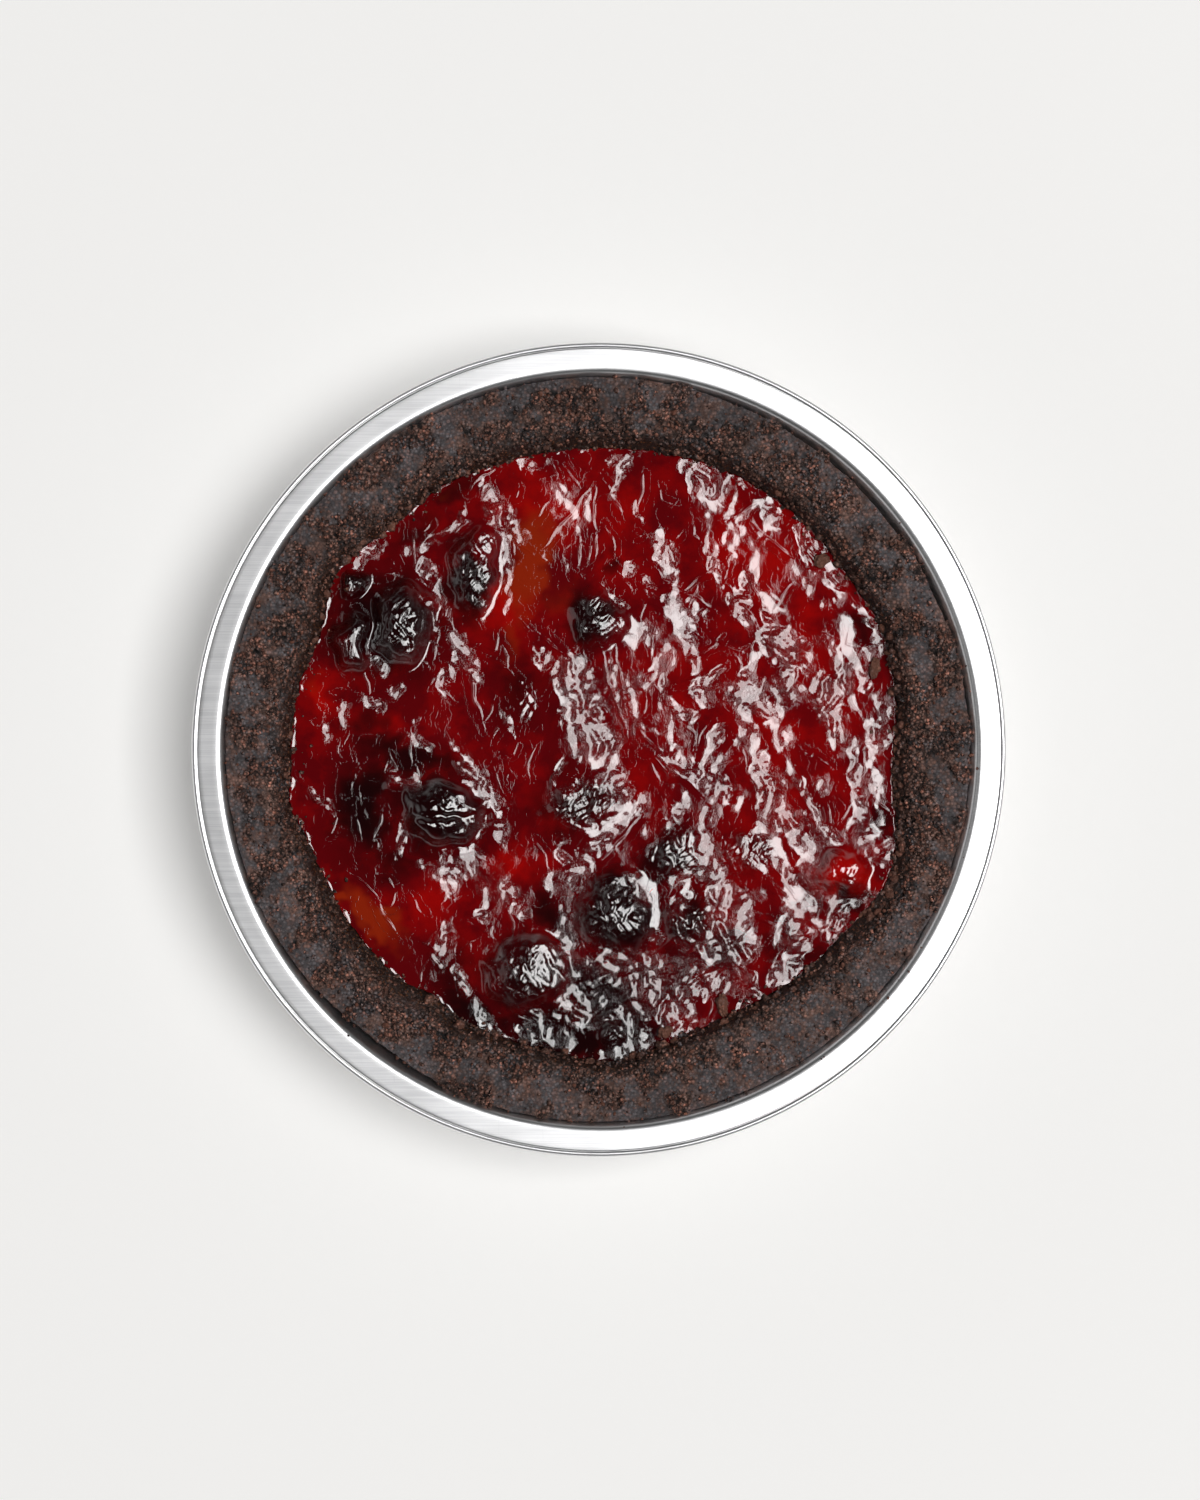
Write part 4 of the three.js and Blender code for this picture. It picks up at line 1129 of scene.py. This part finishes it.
def clumpList(ring):  # place, half sizes and turn of lumps broken loose on the crust's inner slope
    rng = np.random.default_rng(clumps["seed"])
    rows, columns = ring.shape[:2]
    count = clumps["count"]
    chance = withBays(0.25, clumps["bays"], np.arange(columns) * 360 / columns)
    column = rng.choice(columns, count, p=chance / chance.sum())
    row = (rows * rng.uniform(0.76, 0.88, count)).astype(int)
    size = randomSizes(clumps, count, rng)
    shape = rng.uniform(0.7, 1.2, (count, 3)) * (1, 1, 0.8)
    turn = rng.uniform(0, 180, count)
    return [(*ring[r, c], *(half * by), t) for r, c, half, by, t in zip(row, column, size, shape, turn)]


def makeFlakes(ring, material):
    onJelly = np.array(flakes)
    ground = wholeSkin(onJelly[:, 0], onJelly[:, 1])[0] + onJelly[:, 4] / 3
    lying = [(x, y, z, *rest) for (x, y, *rest), z in zip(flakes, ground)]
    balls = [unitBall(4), unitBall(2)]
    points, triangles, rusty, used = [], [], [], 0
    for k, (atX, atY, atZ, halfX, halfY, halfZ, turn) in enumerate(lying + clumpList(ring)):
        ball, faces = balls[k >= len(flakes)]
        u, v, w = ball.T
        crag = 0.34 * noise(1.6 * u + w, 1.6 * v - w, 81 + k)
        swell = 1 + crag + 0.26 * noise(4 * u + 3 * w, 4 * v - 2 * w, 91 + k)
        x, y = turned(u * halfX * swell, v * halfY * swell, -turn)
        points.append(np.stack([x + atX, y + atY, w * halfZ * swell + atZ], -1))
        triangles.append(faces + used)
        rusty.append(np.full(len(ball), 0.9 if k < len(flakes) else (k * 0.37) % 1))
        used += len(ball)
    obj = lumpMesh("strayFlakes", *(np.concatenate(parts) for parts in (points, triangles, rusty)))
    return place(obj, material, "chocolate_crumb", "cherry_jelly")


def makeSpecks(material):  # fine crumbs on the jelly beside the crust and on the tin's inner edge
    rng = np.random.default_rng(specks["seed"])
    count = specks["jelly"] + specks["tin"]
    size = randomSizes(specks, count, rng)
    bearing = rng.uniform(0, 360, count)
    onTin = np.arange(count) >= specks["jelly"]
    bearing[onTin] = rng.normal(specks["tinBearing"], specks["tinSpread"], onTin.sum())
    tinRadius = rng.uniform(specks["tinFrom"], specks["tinTo"], count)
    radius = np.where(onTin, tinRadius, jellyEdge(bearing) + 0.8 - rng.exponential(specks["reach"], count))
    x, y = around(bearing, radius)
    tinHeight = flangeTop - np.maximum(specks["tinBend"] - radius, 0) * 0.8
    height = np.where(onTin, tinHeight, wholeSkin(x, y)[0])
    at = np.stack([x, y, height + size * 0.45], -1)
    return place(crumbPieces("spilledCrumbs", at, size, rng), material, "chocolate_crumb")


makeCamera()
makeRoom()
makeFloor()
print("camera, floor and lights done")
makeTin()
addRandomCreases()
skinMaterial = makeSkinMaterial()
makeJelly(skinMaterial)
for node in cherryNodes:
    makeCherry(node, skinMaterial)
print("tin, jelly and cherries done")
crumbTone = makeCrumbTone()
ring, normal, masks = makeCrust(makeCrumbMaterial(crumbTone))
looseMaterial = makeLooseMaterial(crumbTone)
makeLoose(ring, normal, masks, looseMaterial)
makeFlakes(ring, looseMaterial)
makeSpecks(looseMaterial)
print("crust and crumbs done")
bpy.context.scene.view_settings.view_transform = "Standard"
